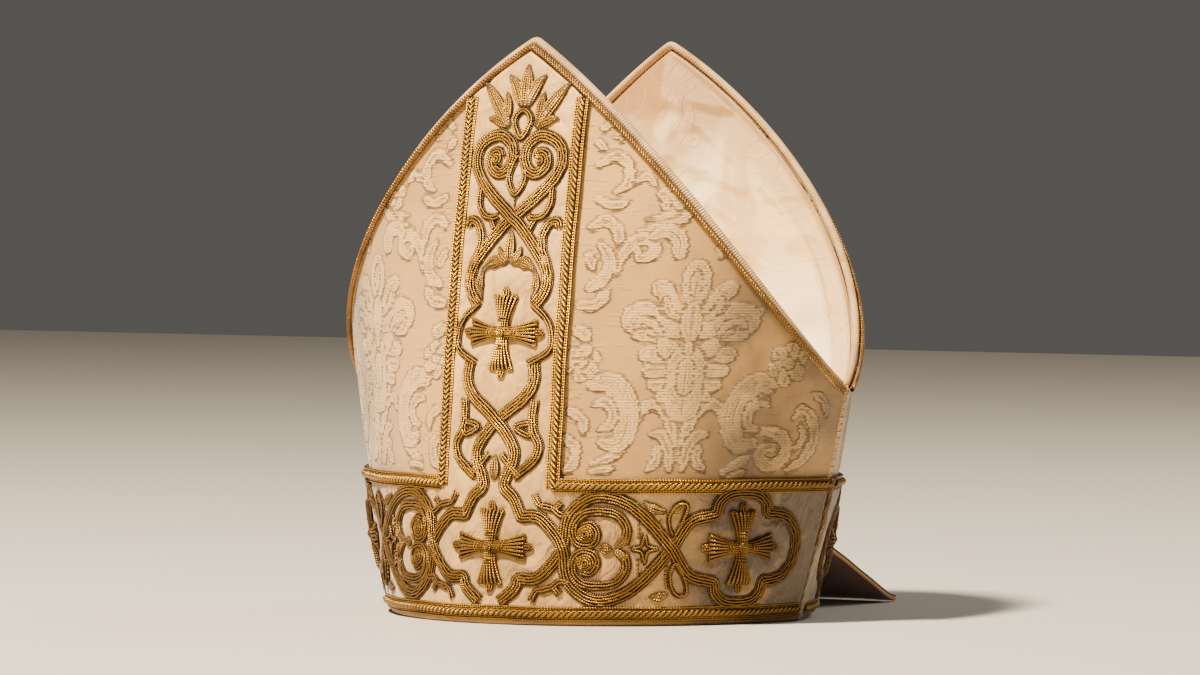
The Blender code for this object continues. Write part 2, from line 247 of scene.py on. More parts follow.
def smoothPath(points, step=1.3, closed=False):
    p = np.array([(*point, 0.0)[:3] for point in points], float)
    if closed:
        ends = np.concatenate([p[-1:], p, p[:2]])
    else:
        ends = np.concatenate([2 * p[:1] - p[1:2], p, 2 * p[-1:] - p[-2:-1]])
    made, marks = [], []
    for a, b, c, d in zip(ends[:-3], ends[1:-2], ends[2:-1], ends[3:]):
        marks.append(sum(len(part) for part in made))
        count = max(2, int(np.linalg.norm(c - b) / step) + 1)
        t = np.linspace(0, 1, count, endpoint=False)[:, None]
        made.append(0.5 * (2 * b + (c - a) * t + (2 * a - 5 * b + 4 * c - d) * t ** 2
                           + (3 * b - a - 3 * c + d) * t ** 3))
    made.append(p[:1] if closed else p[-1:])
    marks.append(sum(len(part) for part in made) - 1)
    return np.concatenate(made), marks


def frames(path):
    t = np.gradient(path, axis=0)
    t /= np.linalg.norm(t, axis=1)[:, None] + 1e-9
    left = np.stack([-t[:, 1], t[:, 0], 0 * t[:, 0]], 1)
    left /= np.linalg.norm(left, axis=1)[:, None] + 1e-9
    return left, np.cross(t, left)


def lengthAlong(path):
    return np.concatenate([[0], np.cumsum(np.linalg.norm(np.diff(path, axis=0), axis=1))])


def even(path, step):
    along = lengthAlong(path)
    spots = np.linspace(0, along[-1], max(3, int(along[-1] / step) + 1))
    return np.stack([np.interp(spots, along, path[:, k]) for k in range(3)], 1)


def cordPiece(name, cords, finish, place=wrap):
    # every cord is (path, radius, sides) and, for a rope's strand, the rope's own line; all become tubes
    # of one mesh, closed at both ends, and "shown" tells how far a point stands out of the grooves; the cord
    # materials use it for painted shade in the grooves
    verts, faces, uvs, shown = [], [], [], []
    base = 0
    for path, radius, sides, *core in cords:
        count = len(path)
        left, up = frames(path)
        size = np.zeros(count) + radius
        size[0] *= 0.45
        size[-1] *= 0.45
        turn = np.arange(sides) / sides * 2 * math.pi
        ring = (left[:, None] * np.cos(turn)[None, :, None] + up[:, None] * np.sin(turn)[None, :, None])
        spots = path[:, None] + ring * size[:, None, None]
        verts.append(spots.reshape(-1, 3))
        if core:
            out = np.linalg.norm(spots - core[0][:, None], axis=2)
            shown.append(((out - out.min()) / (np.ptp(out) + 1e-9)).ravel())
        else:
            shown.append(np.repeat(0.5 + 0.5 * np.sin(turn)[None], count, 0).ravel())
        i, j = np.meshgrid(np.arange(count - 1), np.arange(sides), indexing="ij")
        k = (j + 1) % sides
        quads = np.stack([i * sides + j, i * sides + k, (i + 1) * sides + k, (i + 1) * sides + j], -1)
        faces += (quads.reshape(-1, 4) + base).tolist()
        along = lengthAlong(path)
        u0, u1, v0, v1 = j / sides, (j + 1) / sides, along[i], along[i + 1]
        uvs.append(np.stack([u0, v0, u1, v0, u1, v1, u0, v1], -1).reshape(-1, 2))
        caps = np.arange(base, base + count * sides).reshape(count, sides)
        faces += [caps[0, ::-1].tolist(), caps[-1].tolist()]
        uvs += [np.repeat([[0.0, end]], sides, 0) for end in (0.0, along[-1])]
        base += count * sides
    piece = meshPiece(name, place(np.concatenate(verts)), faces, np.concatenate(uvs), finish)
    setAttribute(piece, "shown", np.concatenate(shown))
    return piece


def strands(path, count, coil, radius, pitch, hand=1, sides=6):
    path = even(path, pitch / 11)
    left, up = frames(path)
    along = lengthAlong(path)
    made = []
    for k in range(count):
        turn = 2 * math.pi * (hand * along / pitch + k / count)
        strand = path + coil * (left * np.cos(turn)[:, None] + up * np.sin(turn)[:, None])
        made.append((strand, radius, sides, path))
    return made


# Materials, all from nodes; each helper adds to the material that was started last
bench = {}


def startMaterial(name, **sockets):
    made = bpy.data.materials.new(name)
    made.use_nodes = True
    bench["tree"] = made.node_tree
    shader = made.node_tree.nodes["Principled BSDF"]
    for socket, value in sockets.items():
        shader.inputs[socket.replace("_", " ")].default_value = value
    return made, shader


def plug(shader, **sockets):
    for socket, output in sockets.items():
        bench["tree"].links.new(output, shader.inputs[socket.replace("_", " ")])


def addNode(kind, values=None, **settings):
    made = bench["tree"].nodes.new(kind)
    for key, value in settings.items():
        setattr(made, key, value)
    for key, value in (values or {}).items():
        if hasattr(value, "is_output"):
            bench["tree"].links.new(value, made.inputs[key])
        else:
            made.inputs[key].default_value = value
    return made


def calc(operation, a, b=0.0, c=0.0):
    return addNode("ShaderNodeMath", {0: a, 1: b, 2: c}, operation=operation).outputs[0]


def times(a, b):
    return calc("MULTIPLY", a, b)


def most(a, b):
    return calc("MAXIMUM", a, b)


def fade(value, low, high, toLow=0.0, toHigh=1.0):
    return addNode("ShaderNodeMapRange", {"Value": value, 1: low, 2: high, 3: toLow, 4: toHigh},
                   interpolation_type="SMOOTHSTEP").outputs[0]


def gloss(value, low, high, toLow, toHigh):
    return addNode("ShaderNodeMapRange", {"Value": value, 1: low, 2: high, 3: toLow, 4: toHigh}).outputs[0]


def blendColour(share, a, b):
    return addNode("ShaderNodeMix", {0: share, 6: a, 7: b}, data_type="RGBA").outputs[2]


def noise(where, scale, detail=3.0, roughness=0.55, distortion=0.0):
    return addNode("ShaderNodeTexNoise", {"Vector": where, "Scale": scale, "Detail": detail,
                                          "Roughness": roughness, "Distortion": distortion}).outputs[0]


def stretched(where, scale):
    return addNode("ShaderNodeMapping", {"Vector": where, "Scale": scale}).outputs[0]


def objectPlace(scale=(1, 1, 1)):
    return stretched(addNode("ShaderNodeTexCoord").outputs["Object"], scale)


def uvMap(name):
    return addNode("ShaderNodeUVMap", uv_map=name).outputs[0]


def kept(name):
    return addNode("ShaderNodeAttribute", attribute_name=name).outputs["Fac"]


def apart(vector):
    return addNode("ShaderNodeSeparateXYZ", {0: vector}).outputs


def ribs(value, period):
    # a fine row of threads, from 0 to 1; value and period are in the same measure
    return calc("MULTIPLY_ADD", calc("SINE", times(value, 2 * math.pi / period)), 0.5, 0.5)


def bump(height, distance, strength=1.0, under=None):
    values = {"Height": height, "Distance": distance, "Strength": strength}
    if under is not None:
        values["Normal"] = under
    return addNode("ShaderNodeBump", values).outputs[0]


def wovenFigure(flat, across, up, colour, normal, colours, roughness):
    # ribbed figure on the satin ground, with dark broken outlines and veins, from the wall's stored marks; the outlines
    # are painted shadow lines along the figure's raised edges, darkest on its lower edges
    steps = noise(stretched(flat, (11, 75, 1)), 1.0, 2)
    figure = calc("ADD", kept("figure"), fade(steps, 0.25, 0.75, -0.75, 0.75))
    inside = fade(figure, -0.2, 0.25)
    patchy = fade(noise(flat, 11.0, 3), 0.36, 0.52)
    rings = fade(calc("PINGPONG", figure, 0.95), 0.24, 0.05)
    spine = fade(calc("ABSOLUTE", kept("vein")), 0.12, 0.03)
    veins = times(times(most(rings, spine), fade(figure, 0.9, 1.4)), patchy)
    outline = times(fade(figure, -1.1, -0.5), fade(figure, 0.6, 0.2))
    coarse = ribs(up, 1.25)
    figured = blendColour(times(coarse, 0.28), colours[2], colours[3])
    # painted sheen: towards the middle of the panel the figure is laid on at only part strength, so figure and ground
    # read alike as where the satin catches the light
    outward = fade(calc("ABSOLUTE", across), 40, 105, 0.55, 1.0)
    colour = blendColour(times(inside, outward), colour, figured)
    # painted shadow: the outlines are darker along the figure's lower edges, where "below" is high
    shade = calc("MULTIPLY_ADD", kept("below"), 0.35, 0.65)
    drawn = times(most(times(outline, shade), times(veins, 0.8)), fade(noise(flat, 16.0, 2), 0.30, 0.50))
    dashes = times(times(fade(steps, 0.66, 0.70), times(inside, 0.55)), patchy)
    colour = blendColour(most(drawn, dashes), colour, (0.16, 0.08, 0.025, 1))
    crinkle = noise(stretched(flat, (7, 42, 1)), 1.0, 2, 0.5, 0.6)
    nearBraid = fade(calc("ABSOLUTE", across), 66, 34)
    crease = times(fade(crinkle, 0.60, 0.66), calc("MULTIPLY_ADD", nearBraid, 0.6, 0.1))
    # painted shade in the crinkles' creases, stronger near the braids, in the stain colour
    colour = blendColour(times(crease, 0.4), colour, colours[4])
    for height, distance, strength in ((times(inside, coarse), 0.0002, 0.6), (times(veins, -1.0), 0.0004, 0.7),
                                       (fade(figure, -0.4, 0.5), 0.0006, 0.85), (crease, 0.0009, 0.6)):
        normal = bump(height, distance, strength, normal)
    return colour, normal, gloss(inside, 0, 1, roughness - 0.06, roughness + 0.16)


def silk(name, colours, rib, warpPeriod=0.4, stain=0.35, stainAndCreaseShade=(0.36, 0.21, 0.09, 1), roughness=0.45,
         pattern=False, soilAndShade=0.0, crumpled=0.0):
    made, shader = startMaterial(name, Roughness=roughness, Sheen_Weight=0.35, Sheen_Roughness=0.4,
                                 Specular_IOR_Level=0.4)
    flat = uvMap("Flat")
    across, up = (times(part, 100) for part in apart(flat)[:2])
    where = objectPlace()
    colour = blendColour(fade(noise(where, 9.0, 4), 0.35, 0.68), colours[0], colours[1])
    ribbed = ribs(up, 0.55) if rib == "weft" else ribs(across, warpPeriod)
    slub = noise(stretched(flat, (14, 160, 1)), 1.0, 3)
    normal = bump(calc("MULTIPLY_ADD", slub, 0.7, times(ribbed, 0.6)), 0.0002, 0.5)
    if pattern:
        colour, normal, rough = wovenFigure(flat, across, up, colour, normal, (*colours, stainAndCreaseShade), roughness)
        plug(shader, Roughness=rough)
    spots = fade(noise(where, 34.0, 5, 0.7), 0.58, 0.78)
    colour = blendColour(times(spots, stain), colour, stainAndCreaseShade)
    if crumpled:
        creases = noise(objectPlace((1.0, 1.0, 0.7)), 95.0, 3, 0.5, 0.8)
        normal = bump(creases, 0.005, crumpled, normal)
        # painted shade in the creases of the crumpled silk
        colour = blendColour(fade(creases, 0.50, 0.36, 0.0, 0.6), colour, colours[1])
    if soilAndShade:  # darker towards the side seams and the hem: partly soil, mostly painted shade where the light falls off
        sides = times(fade(calc("ABSOLUTE", across), 58, 118), soilAndShade)
        soilAndShadeMask = most(sides, fade(up, 82, 22, 0.0, soilAndShade * 0.32))
        soilAndShadeMask = times(soilAndShadeMask, fade(noise(where, 38.0, 4), 0.32, 0.62, 0.5, 1.05))
        colour = blendColour(soilAndShadeMask, colour, (0.088, 0.060, 0.037, 1))
    plug(shader, Base_Color=colour, Normal=normal)
    return made


def goldCord(name, bright, dark, turns=2, pitch=1.1, roughness=0.30, metallic=0.85, worn=0.3, greyed=0.0,
             grooves=0.95, twist=0.5, soilAndShade=0.0, grooveEnd=0.66):
    made, shader = startMaterial(name, Roughness=roughness, Metallic=metallic, Specular_IOR_Level=0.6)
    around, along = apart(uvMap("Cord"))[:2]
    wave = ribs(calc("MULTIPLY_ADD", around, turns, calc("DIVIDE", along, pitch)), 1.0)
    where = objectPlace()
    cloudy, glint = noise(where, 60.0, 4), noise(where, 900.0, 2)
    colour = blendColour(fade(cloudy, 0.38, 0.66, 0.0, worn), bright, dark)
    # painted shade in the troughs of the twist, in the dark colour
    colour = blendColour(fade(wave, 0.35, 0.0, 0.0, twist), colour, dark)
    colour = blendColour(fade(glint, 0.60, 0.78, 0.0, 0.65), colour, (1.0, 0.77, 0.38, 1))
    # painted shade: each cord's sides and underside, and the hollows between a rope's strands, take the dark colour
    if grooves:
        colour = blendColour(fade(kept("shown"), grooveEnd, 0.99, grooves, 0.0), colour, dark)
    if soilAndShade:  # darker towards the side seams and the hem: partly soil, mostly painted shade where the light falls off
        x, y, z = apart(where)
        soilAndShadeMask = most(fade(calc("ABSOLUTE", x), 0.060, 0.115, 0.0, soilAndShade), fade(z, 0.085, 0.02, 0.0, soilAndShade * 0.6))
        colour = blendColour(soilAndShadeMask, colour, (0.10, 0.05, 0.012, 1))
    if greyed:
        colour = blendColour(fade(noise(where, 25.0, 3), 0.4, 0.6, 0.0, greyed), colour, (0.42, 0.36, 0.28, 1))
    plug(shader, Base_Color=colour, Roughness=gloss(cloudy, 0.3, 0.7, roughness - 0.08, roughness + 0.16),
         Normal=bump(wave, 0.00025, 0.8))
    return made


colours = {
    "ground": (0.69, 0.40, 0.128, 1), "groundShade": (0.48, 0.265, 0.09, 1),
    "figure": (0.88, 0.555, 0.205, 1), "figureShade": (0.70, 0.41, 0.145, 1),
    "band": (0.86, 0.53, 0.185, 1), "bandShade": (0.56, 0.315, 0.10, 1),
    "gold": (0.80, 0.41, 0.05, 1), "goldShade": (0.018, 0.007, 0.002, 1),
    "paleGold": (0.74, 0.42, 0.075, 1), "copper": (0.24, 0.12, 0.033, 1),
    "web": (1.0, 0.87, 0.56, 1), "webShade": (0.96, 0.62, 0.24, 1),
}
damask = silk("damask_silk", (colours["ground"], colours["groundShade"], colours["figure"], colours["figureShade"]),
              "warp", pattern=True, stain=0.25, soilAndShade=0.75)
liningSilk = silk("lining_silk", (colours["ground"], colours["groundShade"]), "weft", stain=0.3, roughness=0.6)
bandSilk = silk("band_silk", (colours["band"], colours["bandShade"]), "warp", warpPeriod=0.7, stain=0.4, soilAndShade=1.25,
                crumpled=0.7)
edgeSilk = goldCord("edge_silk", (0.68, 0.45, 0.21, 1), (0.38, 0.22, 0.09, 1), turns=1, pitch=1.3,
                    roughness=0.5, metallic=0.0, worn=0.8, grooves=0, twist=0.25)
goldThread = goldCord("gold_thread", colours["gold"], colours["goldShade"], twist=0.4, worn=0.5, soilAndShade=0.95,
                      grooveEnd=0.81)
goldRope = goldCord("gold_rope", colours["paleGold"], colours["goldShade"], turns=0, pitch=0.5, worn=0.35, twist=0.3,
                    soilAndShade=0.75)
goldEdge = goldCord("gold_edge_cord", colours["gold"], colours["goldShade"], turns=0, pitch=1.25, worn=0.4, twist=0.8,
                    soilAndShade=0.7)
pipingGold = goldCord("piping_gold", (0.42, 0.22, 0.06, 1), colours["goldShade"], turns=0, pitch=0.7, worn=0.5,
                      twist=0.3)
wornGold = goldCord("worn_cord", colours["copper"], colours["goldShade"], pitch=1.6, metallic=0.3,
                    roughness=0.6, worn=0.7, greyed=0.7)
print("materials made")

# The damask's figure is drawn for the right half of a panel and mirrored to the left. A leaf or a
# scroll is (points, half width, share of it at the start, at the end, scallops), in drawing order
figureChart = {
    "axis": 85.5,
    "rib": 2.7,
    "notch": 0.2,
    "pairs": (  # out from the figure's own axis and up; drawn on both sides of it
        (((-2, 75), (-2.8, 84), (-4.5, 91), (-9, 97.5), (-14, 99.5), (-18.5, 96), (-22, 90)), 2.7, 0.7, 1.0, 0),
        (((-34, 82), (-28, 81), (-24.5, 86), (-24, 95), (-27, 103), (-33, 108.5), (-40, 109)), 5.4, 0.5, 0.8, 0),
        (((-36, 88), (-31.5, 90), (-31, 96), (-35, 100), (-40, 99)), 2.6, 0.6, 0.5, 2),
        (((-3, 70), (-4.5, 79), (-8, 85.5), (-12.5, 86)), 2.8, 0.5, 0.5, 3),
        (((-9.5, 80), (-9, 74.5), (-13, 69.5)), 2.4, 0.8, 0.3, 2),
        (((-1.5, 97), (-6.5, 97.5)), 2.2, 0.9, 0.4, 1), (((-4, 102.5), (-11.5, 102.5)), 2.8, 0.9, 0.4, 2),
        (((-7, 108.5), (-15.5, 108)), 3.3, 0.9, 0.4, 2), (((-8, 115), (-18.5, 114.2)), 3.7, 0.9, 0.4, 3),
        (((-10, 121.5), (-20.5, 121.5)), 4.0, 0.9, 0.5, 3),
        (((-9, 128), (-18, 131), (-24, 130.5)), 3.8, 0.8, 0.8, 2),
        (((-5, 131), (-13, 134), (-20, 139.5), (-26, 138.5), (-26.5, 134.5)), 6.0, 0.5, 0.7, 4),
        (((-13, 131), (-17, 135), (-22, 136.5), (-24.5, 134)), 1.9, 0.7, 0.7, 0),
        (((-4, 140), (-10, 142.5), (-12.5, 149), (-16.5, 151.5)), 4.6, 0.5, 0.8, 3),
        (((-6.5, 138), (-10.5, 140.5), (-12.5, 146)), 1.8, 0.9, 0.8, 0),
        (((-0.5, 122), (-6, 121.5), (-12, 127)), 4.4, 1.0, 0.6, 2),
    ),
    "middle": (  # on the axis
        (((0, 119), (0, 106), (0, 93)), 8.6, 1.0, 0.15, 5), (((0, 116), (0, 104)), 3.6, 1.0, 0.2, 0),
        (((0, 147), (0, 161)), 6.6, 0.7, 0.55, 4), (((0, 149), (0, 157)), 2.4, 0.8, 0.8, 0),
        (((0, 130.5), (0, 141.5)), 4.8, 0.75, 0.7, 0), (((0, 123.5), (0, 125.2)), 2.3, 1.0, 1.0, 0),
    ),
    "free": (  # from the middle of the panel
        (((121.5, 88), (127.5, 87), (134.5, 84.5), (137, 77.5), (131, 71.5), (124.5, 74), (125.5, 79.5),
        (130, 80)), 3.1, 0.6, 0.7, 0),
        (((139, 93), (143, 97), (149, 92), (151, 83), (146, 74), (138, 69.5)), 3.0, 0.5, 0.4, 4),
        (((143, 90), (145, 84), (141, 78)), 1.8, 0.6, 0.5, 0),
        (((148, 104), (154, 101), (157, 94)), 2.2, 0.5, 0.5, 2),
        (((108, 68.5), (114, 72.5), (120, 76.5)), 2.3, 0.9, 0.3, 2), (((110, 66.5), (118, 69)), 1.9, 0.8, 0.3, 1),
        (((48, 72), (56, 75.5), (62, 79.5)), 2.4, 0.9, 0.3, 2), (((47, 69), (58, 70.5)), 2.0, 0.9, 0.3, 1),
        (((34, 84), (39, 79), (38, 72), (34, 69)), 2.8, 0.8, 0.6, 2),
        (((35, 96), (41, 92), (42, 86)), 2.6, 0.8, 0.6, 2),
        (((57, 176.5), (66, 178), (75, 181.5), (82, 187)), 2.4, 0.4, 0.4, 3),
        (((60, 182), (68, 183), (76, 188)), 1.5, 0.5, 0.5, 0),
        (((49, 158), (51.5, 166), (57, 172.5), (63.5, 172.5), (65, 167), (60, 164.5), (57.5, 168)), 3.0, 0.6, 0.6, 0),
        (((64, 174), (70, 176.5), (75.5, 173), (76.5, 166.5)), 3.8, 0.6, 0.9, 4),
        (((41, 171), (46, 163), (44, 155), (38, 151)), 3.4, 0.4, 0.7, 3),
        (((36, 178), (42, 181), (48, 177), (49, 170)), 3.0, 0.7, 0.5, 2), (((36, 166), (39, 160)), 2.4, 0.8, 0.8, 1),
        (((35, 143), (42, 144), (47, 150)), 3.0, 0.9, 0.4, 2), (((35, 132), (40, 129)), 3.2, 0.9, 0.7, 2),
        (((36, 206), (43, 210), (49, 206), (50, 198), (45, 194)), 2.8, 0.7, 0.6, 2),
        (((37, 191), (44, 188), (52, 190)), 2.4, 0.8, 0.3, 2),
        (((36, 222), (41, 226), (45, 221)), 2.3, 0.8, 0.5, 1), (((113, 138), (118, 142)), 1.5, 0.9, 0.4, 0),
        (((53, 198), (58, 201), (62, 197)), 2.0, 0.6, 0.5, 1), (((35, 216), (38, 213)), 2.0, 0.9, 0.6, 0),
    ),
    "rosettes": (  # place, reach and petals
        (133, 117.5, 11.0, 6), (38.5, 117.5, 9.5, 6), (70.5, 192, 8.0, 5), (96.5, 168.6, 5.0, 5),
        (124, 104, 4.0, 4), (44, 219, 3.4, 4),
    ),
}


def figureShape(points, half, start, end, scallops):
    path = smoothPath(points, 0.9)[0][:, :2]
    t = np.linspace(0, 1, len(path))
    halves = half * np.interp(t, (0, 0.3, 0.75, 1), (start, 1, 1, end))
    if scallops:
        halves *= 1 - figureChart["notch"] * (1 - np.abs(np.sin(math.pi * scallops * t)) ** 0.6)
    way = np.gradient(path, axis=0)
    normals = np.stack([-way[:, 1], way[:, 0]], 1) / (np.linalg.norm(way, axis=1)[:, None] + 1e-9)
    return path, halves, normals, max(1, round(half / figureChart["rib"]))


def figureShapes():
    chart, made = figureChart, []
    for points, *rest in chart["free"]:
        made.append(figureShape(points, *rest))
    for points, *rest in chart["pairs"]:
        for side in (-1, 1):
            made.append(figureShape([(chart["axis"] - side * out, z) for out, z in points], *rest))
    for points, *rest in chart["middle"]:
        made.append(figureShape([(chart["axis"] + out, z) for out, z in points], *rest))
    for s, z, reach, petals in chart["rosettes"]:
        for angle in np.arange(petals) * 2 * math.pi / petals + 0.4:
            way = np.array([math.cos(angle), math.sin(angle)])
            spots = [(s, z) + way * reach * 0.3, (s, z) + way * reach * 0.66]
            made.append(figureShape(spots, reach * 0.36, 0.6, 0.9, 2))
        made.append(figureShape([(s, z), (s + 0.5, z)], reach * 0.24, 1, 1, 0))
    return made


def figureField(flat, shapes):
    # how deep inside the topmost leaf each point lies, negative on the ground, and its place between the veins
    depth, vein = np.full(len(flat), -4.0), np.zeros(len(flat))
    for spots, halves, normals, veins in shapes:
        low, high = spots.min(0) - 12, spots.max(0) + 12
        near = np.nonzero(((flat >= low) & (flat <= high)).all(1))[0]
        if not len(near):
            continue
        away = flat[near, None] - spots[None]
        gaps = halves[None] - np.linalg.norm(away, axis=2)
        best = gaps.argmax(1)
        row = np.arange(len(near))
        gap, old = gaps[row, best], depth[near]
        depth[near] = np.where(gap > 0, gap, np.where(old > 0, np.minimum(old, -gap - 0.4), np.maximum(old, gap)))
        side = (away[row, best] * normals[best]).sum(1) / halves[best] * veins
        vein[near] = np.where(gap > 0, side, vein[near])
    return depth, vein


damaskWall = {"columns": 300, "rows": 215, "relief": 0.24, "setback": 1.2, "hemSwell": 1.0}


def damaskPlace(across, up):
    z = up * rim(across)
    u = across * seamU(z, damaskWall["setback"])
    s = np.sign(u) * np.interp(np.abs(u), rowU, lengths[60]) / lengths[60][-1] * halfGirth(z)
    flat = np.stack([s, z], 1)
    depth, vein = figureField(np.stack([np.abs(s), z], 1), figureShapes())
    rise = np.gradient(depth.reshape(damaskWall["rows"] + 1, -1), axis=0).ravel()
    # "below" marks the figure's lower edges, where the damask material paints shadow lines
    damaskWall["marks"] = {"figure": depth, "vein": vein, "below": np.clip(rise * 1.2, 0, 1)}
    lift = damaskWall["relief"] * np.clip(depth / 1.2 + 0.5, 0, 1)
    lift += 0.12 * np.sin(s * 0.31 + 2 * np.sin(z * 0.05)) * np.sin(z * 0.23)
    lift += damaskWall["hemSwell"] * np.clip(1 - ((z - 1.1) / 1.2) ** 2, 0, 1)
    return onWall(u, z, lift), flat


frontDamask = clothGrid("front_damask", damaskWall["columns"], damaskWall["rows"], damaskPlace, damask)
for mark, values in damaskWall["marks"].items():
    setAttribute(frontDamask, mark, values)
thicken(frontDamask, mitre["panel"], use_rim_only=True)
for piece, side in bothSides(frontDamask, "damask", "panel"):
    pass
print("damask walls:", len(frontDamask.data.polygons), "faces each")


def liningPlace(across, up):
    z = 0.3 + up * (rim(across) - 0.6)
    u = across * seamU(z, damaskWall["setback"] + 0.6)
    return onWall(u, z, -(mitre["panel"] + mitre["clearance"]) + 0 * z), np.stack([u * halfGirth(z), z], 1)


frontLining = clothGrid("front_inside", 60, 30, liningPlace, liningSilk)
thicken(frontLining, mitre["lining"])
for piece, side in bothSides(frontLining, "lining", "lining"):
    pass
print("linings made")

# The gold embroidery. Every ribbon is a row of couched cords along a line of chosen points,
# given for the right side and mirrored; crossAt lists the points where it passes over another
embroidery = {
    "radius": 0.58,
    "pitch": 1.28,
    "dome": 0.65,
    "outline": 0.42,
    "rise": 1.1,
    "riseLength": 3.6,
    "middle": 34.8,
}
quarter = ((90, 46.5), (99, 49.5), (102.5, 50.5), (103.5, 55), (108, 59), (115.3, 60), (122.5, 59),
           (127, 55), (128, 50.5), (132, 50), (139, 48), (144, 42))
upperRound = quarter + ((145.5, 34.8),)


def below(points):  # the same line, turned over about the middle of the lower band
    return tuple((s, 2 * embroidery["middle"] - z) for s, z in points)


lowerRound = below(quarter[::-1])
sprig = ((37.5, 50.5), (33, 49.6), (29.5, 52.2), (25.5, 53.4), (22.5, 54.2), (20, 58.8))
sprigLeaf = ((30, 52), (33.2, 55.6))
innerScroll = ((61, 36.5), (62, 44), (57.5, 50), (50, 51.5), (43, 50.5), (38.8, 46), (38.6, 40), (42, 36.6), (47, 37.2),
               (48.8, 41.5), (46, 45.4), (42.6, 44.6))
ribbons = (
    # points, cords, points that pass over
    (((-10, 209), (-10.5, 211), (-13.5, 210.4), (-14.5, 206), (-10.5, 202), (-6, 203), (-3.2, 208.5), (-4.6, 215.2),
      (-11, 219), (-19.3, 215.6), (-22.2, 208.5), (-19.5, 200.5), (-11.5, 191.5), (0, 182), (3, 179.5), (11, 170.5),
      (18, 161), (20, 153.5), (18, 147), (14, 142.5)), 4, (13,)),
    (((-16.5, 117), (-17, 108.5), (-13, 101.5), (-5.5, 95.5), (0, 91), (4.5, 86), (9, 79), (9.2, 73), (6.5, 67),
      (5.5, 61.5), (10.5, 56.5), (14, 49.5), (15, 48.6), (22, 48.5), (28, 43.5), (33.8, 34.8), (36, 21), (44, 13),
      (52.5, 11.5),
      (62.5, 15), (72, 23), (82, 34.8)) + upperRound + lowerRound + ((82, 34.8), (72, 46.6), (62.5, 54.6),
      (52.5, 58), (44, 56.5), (36, 48.5), (33.8, 34.8), (28, 26), (22, 21), (15, 20.8), (13.5, 20), (12.5, 16.5),
      (5, 10)), 4, (4, 15, 47)),
    (((13.5, 143.5), (21, 137), (24, 129.8), (23, 122.5), (13, 116.5)), 2, ()),
    (((20.6, 152), (19.4, 160), (16.2, 168), (16, 174.5), (18.8, 179.6), (22.6, 180.4), (23.6, 177.4)), 3, ()),
    (((18.4, 195.5), (18.4, 188.5), (15.6, 183.4), (11, 181.8), (7.2, 182.8)), 2, ()),
    (((11.2, 181), (8.8, 176.4)), 2, ()),
    (((18, 101), (17.4, 92), (18.3, 86), (21.2, 80.5), (19.6, 74.2), (13.5, 68.8), (9.5, 66)), 3, ()),
    (((2.8, 76.5), (7.5, 71.5), (13, 66)), 2, ()),
    *((line(points), count, ()) for points, count in ((sprig, 2), (sprigLeaf, 2), (innerScroll, 3))
      for line in (tuple, below)),
)
loops = (  # closed rings of cord, mirrored where they stand off the middle
    (((0, 230.5), (4.2, 226), (0, 217.8), (-4.2, 226)), 2), (((0, 210.6), (4.2, 200), (0, 192.6), (-4.2, 200)), 2),
    (((16.5, 90), (9.6, 88.2), (16.5, 84.8)), 2),
    (((83, 41), (80.4, 47.5), (83.4, 54), (88.6, 54.5), (87, 47.5)), 1),
    (((84, 28.5), (81.6, 21), (84.6, 14), (89.6, 14.5), (88, 22)), 1),
    (((70, 41.4), (71.3, 36.4), (75.8, 34.8), (71.3, 33.2), (70, 28.2), (68.7, 33.2), (64.4, 34.8), (68.7, 36.4)), 1),
)
leaves = (  # base, tip, width, bend, lobes
    ((0, 231.5), (0, 251), 7.0, 0, 0), ((1.6, 231.8), (9.6, 246.2), 5.8, 1.5, 0),
    ((6.8, 222.5), (22, 243), 6.0, 0.5, 0),
    ((8.4, 226), (9.8, 238.6), 4.4, 0.6, 0), ((7.5, 222.6), (18.2, 226.6), 4.2, 1.2, 0),
    ((1, 161.6), (14, 157.6), 5.6, 2.4, 2),
    ((13.4, 158), (12.6, 145.5), 4.4, 1.4, 2), ((0, 162), (0, 176.5), 5, 0, 0),
    ((0.5, 162), (5.8, 169), 3.6, -1, 0), ((0, 64.5), (0, 76), 5, 0, 0), ((79.5, 51.5), (69, 56), 4.4, 1.2, 2),
    ((81.5, 51.5), (87.5, 56.3), 3.8, -0.8, 0),
    ((81, 14.6), (72.5, 13.2), 4, 0.8, 2),
    ((62, 41), (56, 35.2), 3.6, 1, 0), ((62, 28.6), (56, 34.4), 3.6, -1, 0), ((50.5, 34.8), (56, 34.8), 4.4, 0, 0),
)
beadRows = (((67.4, 23), (67, 27), (67.2, 30.5)), ((67.2, 39), (67.4, 42), (67.2, 46)),
            ((80.6, 16.5), (79.6, 22), (80.4, 28)), ((0, 190.5), (0, 187)), ((78, 41), (76.5, 44.5), (77.5, 48)))
couchedCords, outlineCords, leafParts = [], [], []
face = mitre["bandFace"]


def mirrored(path):
    twin = path.copy()
    twin[:, 0] *= -1
    return twin


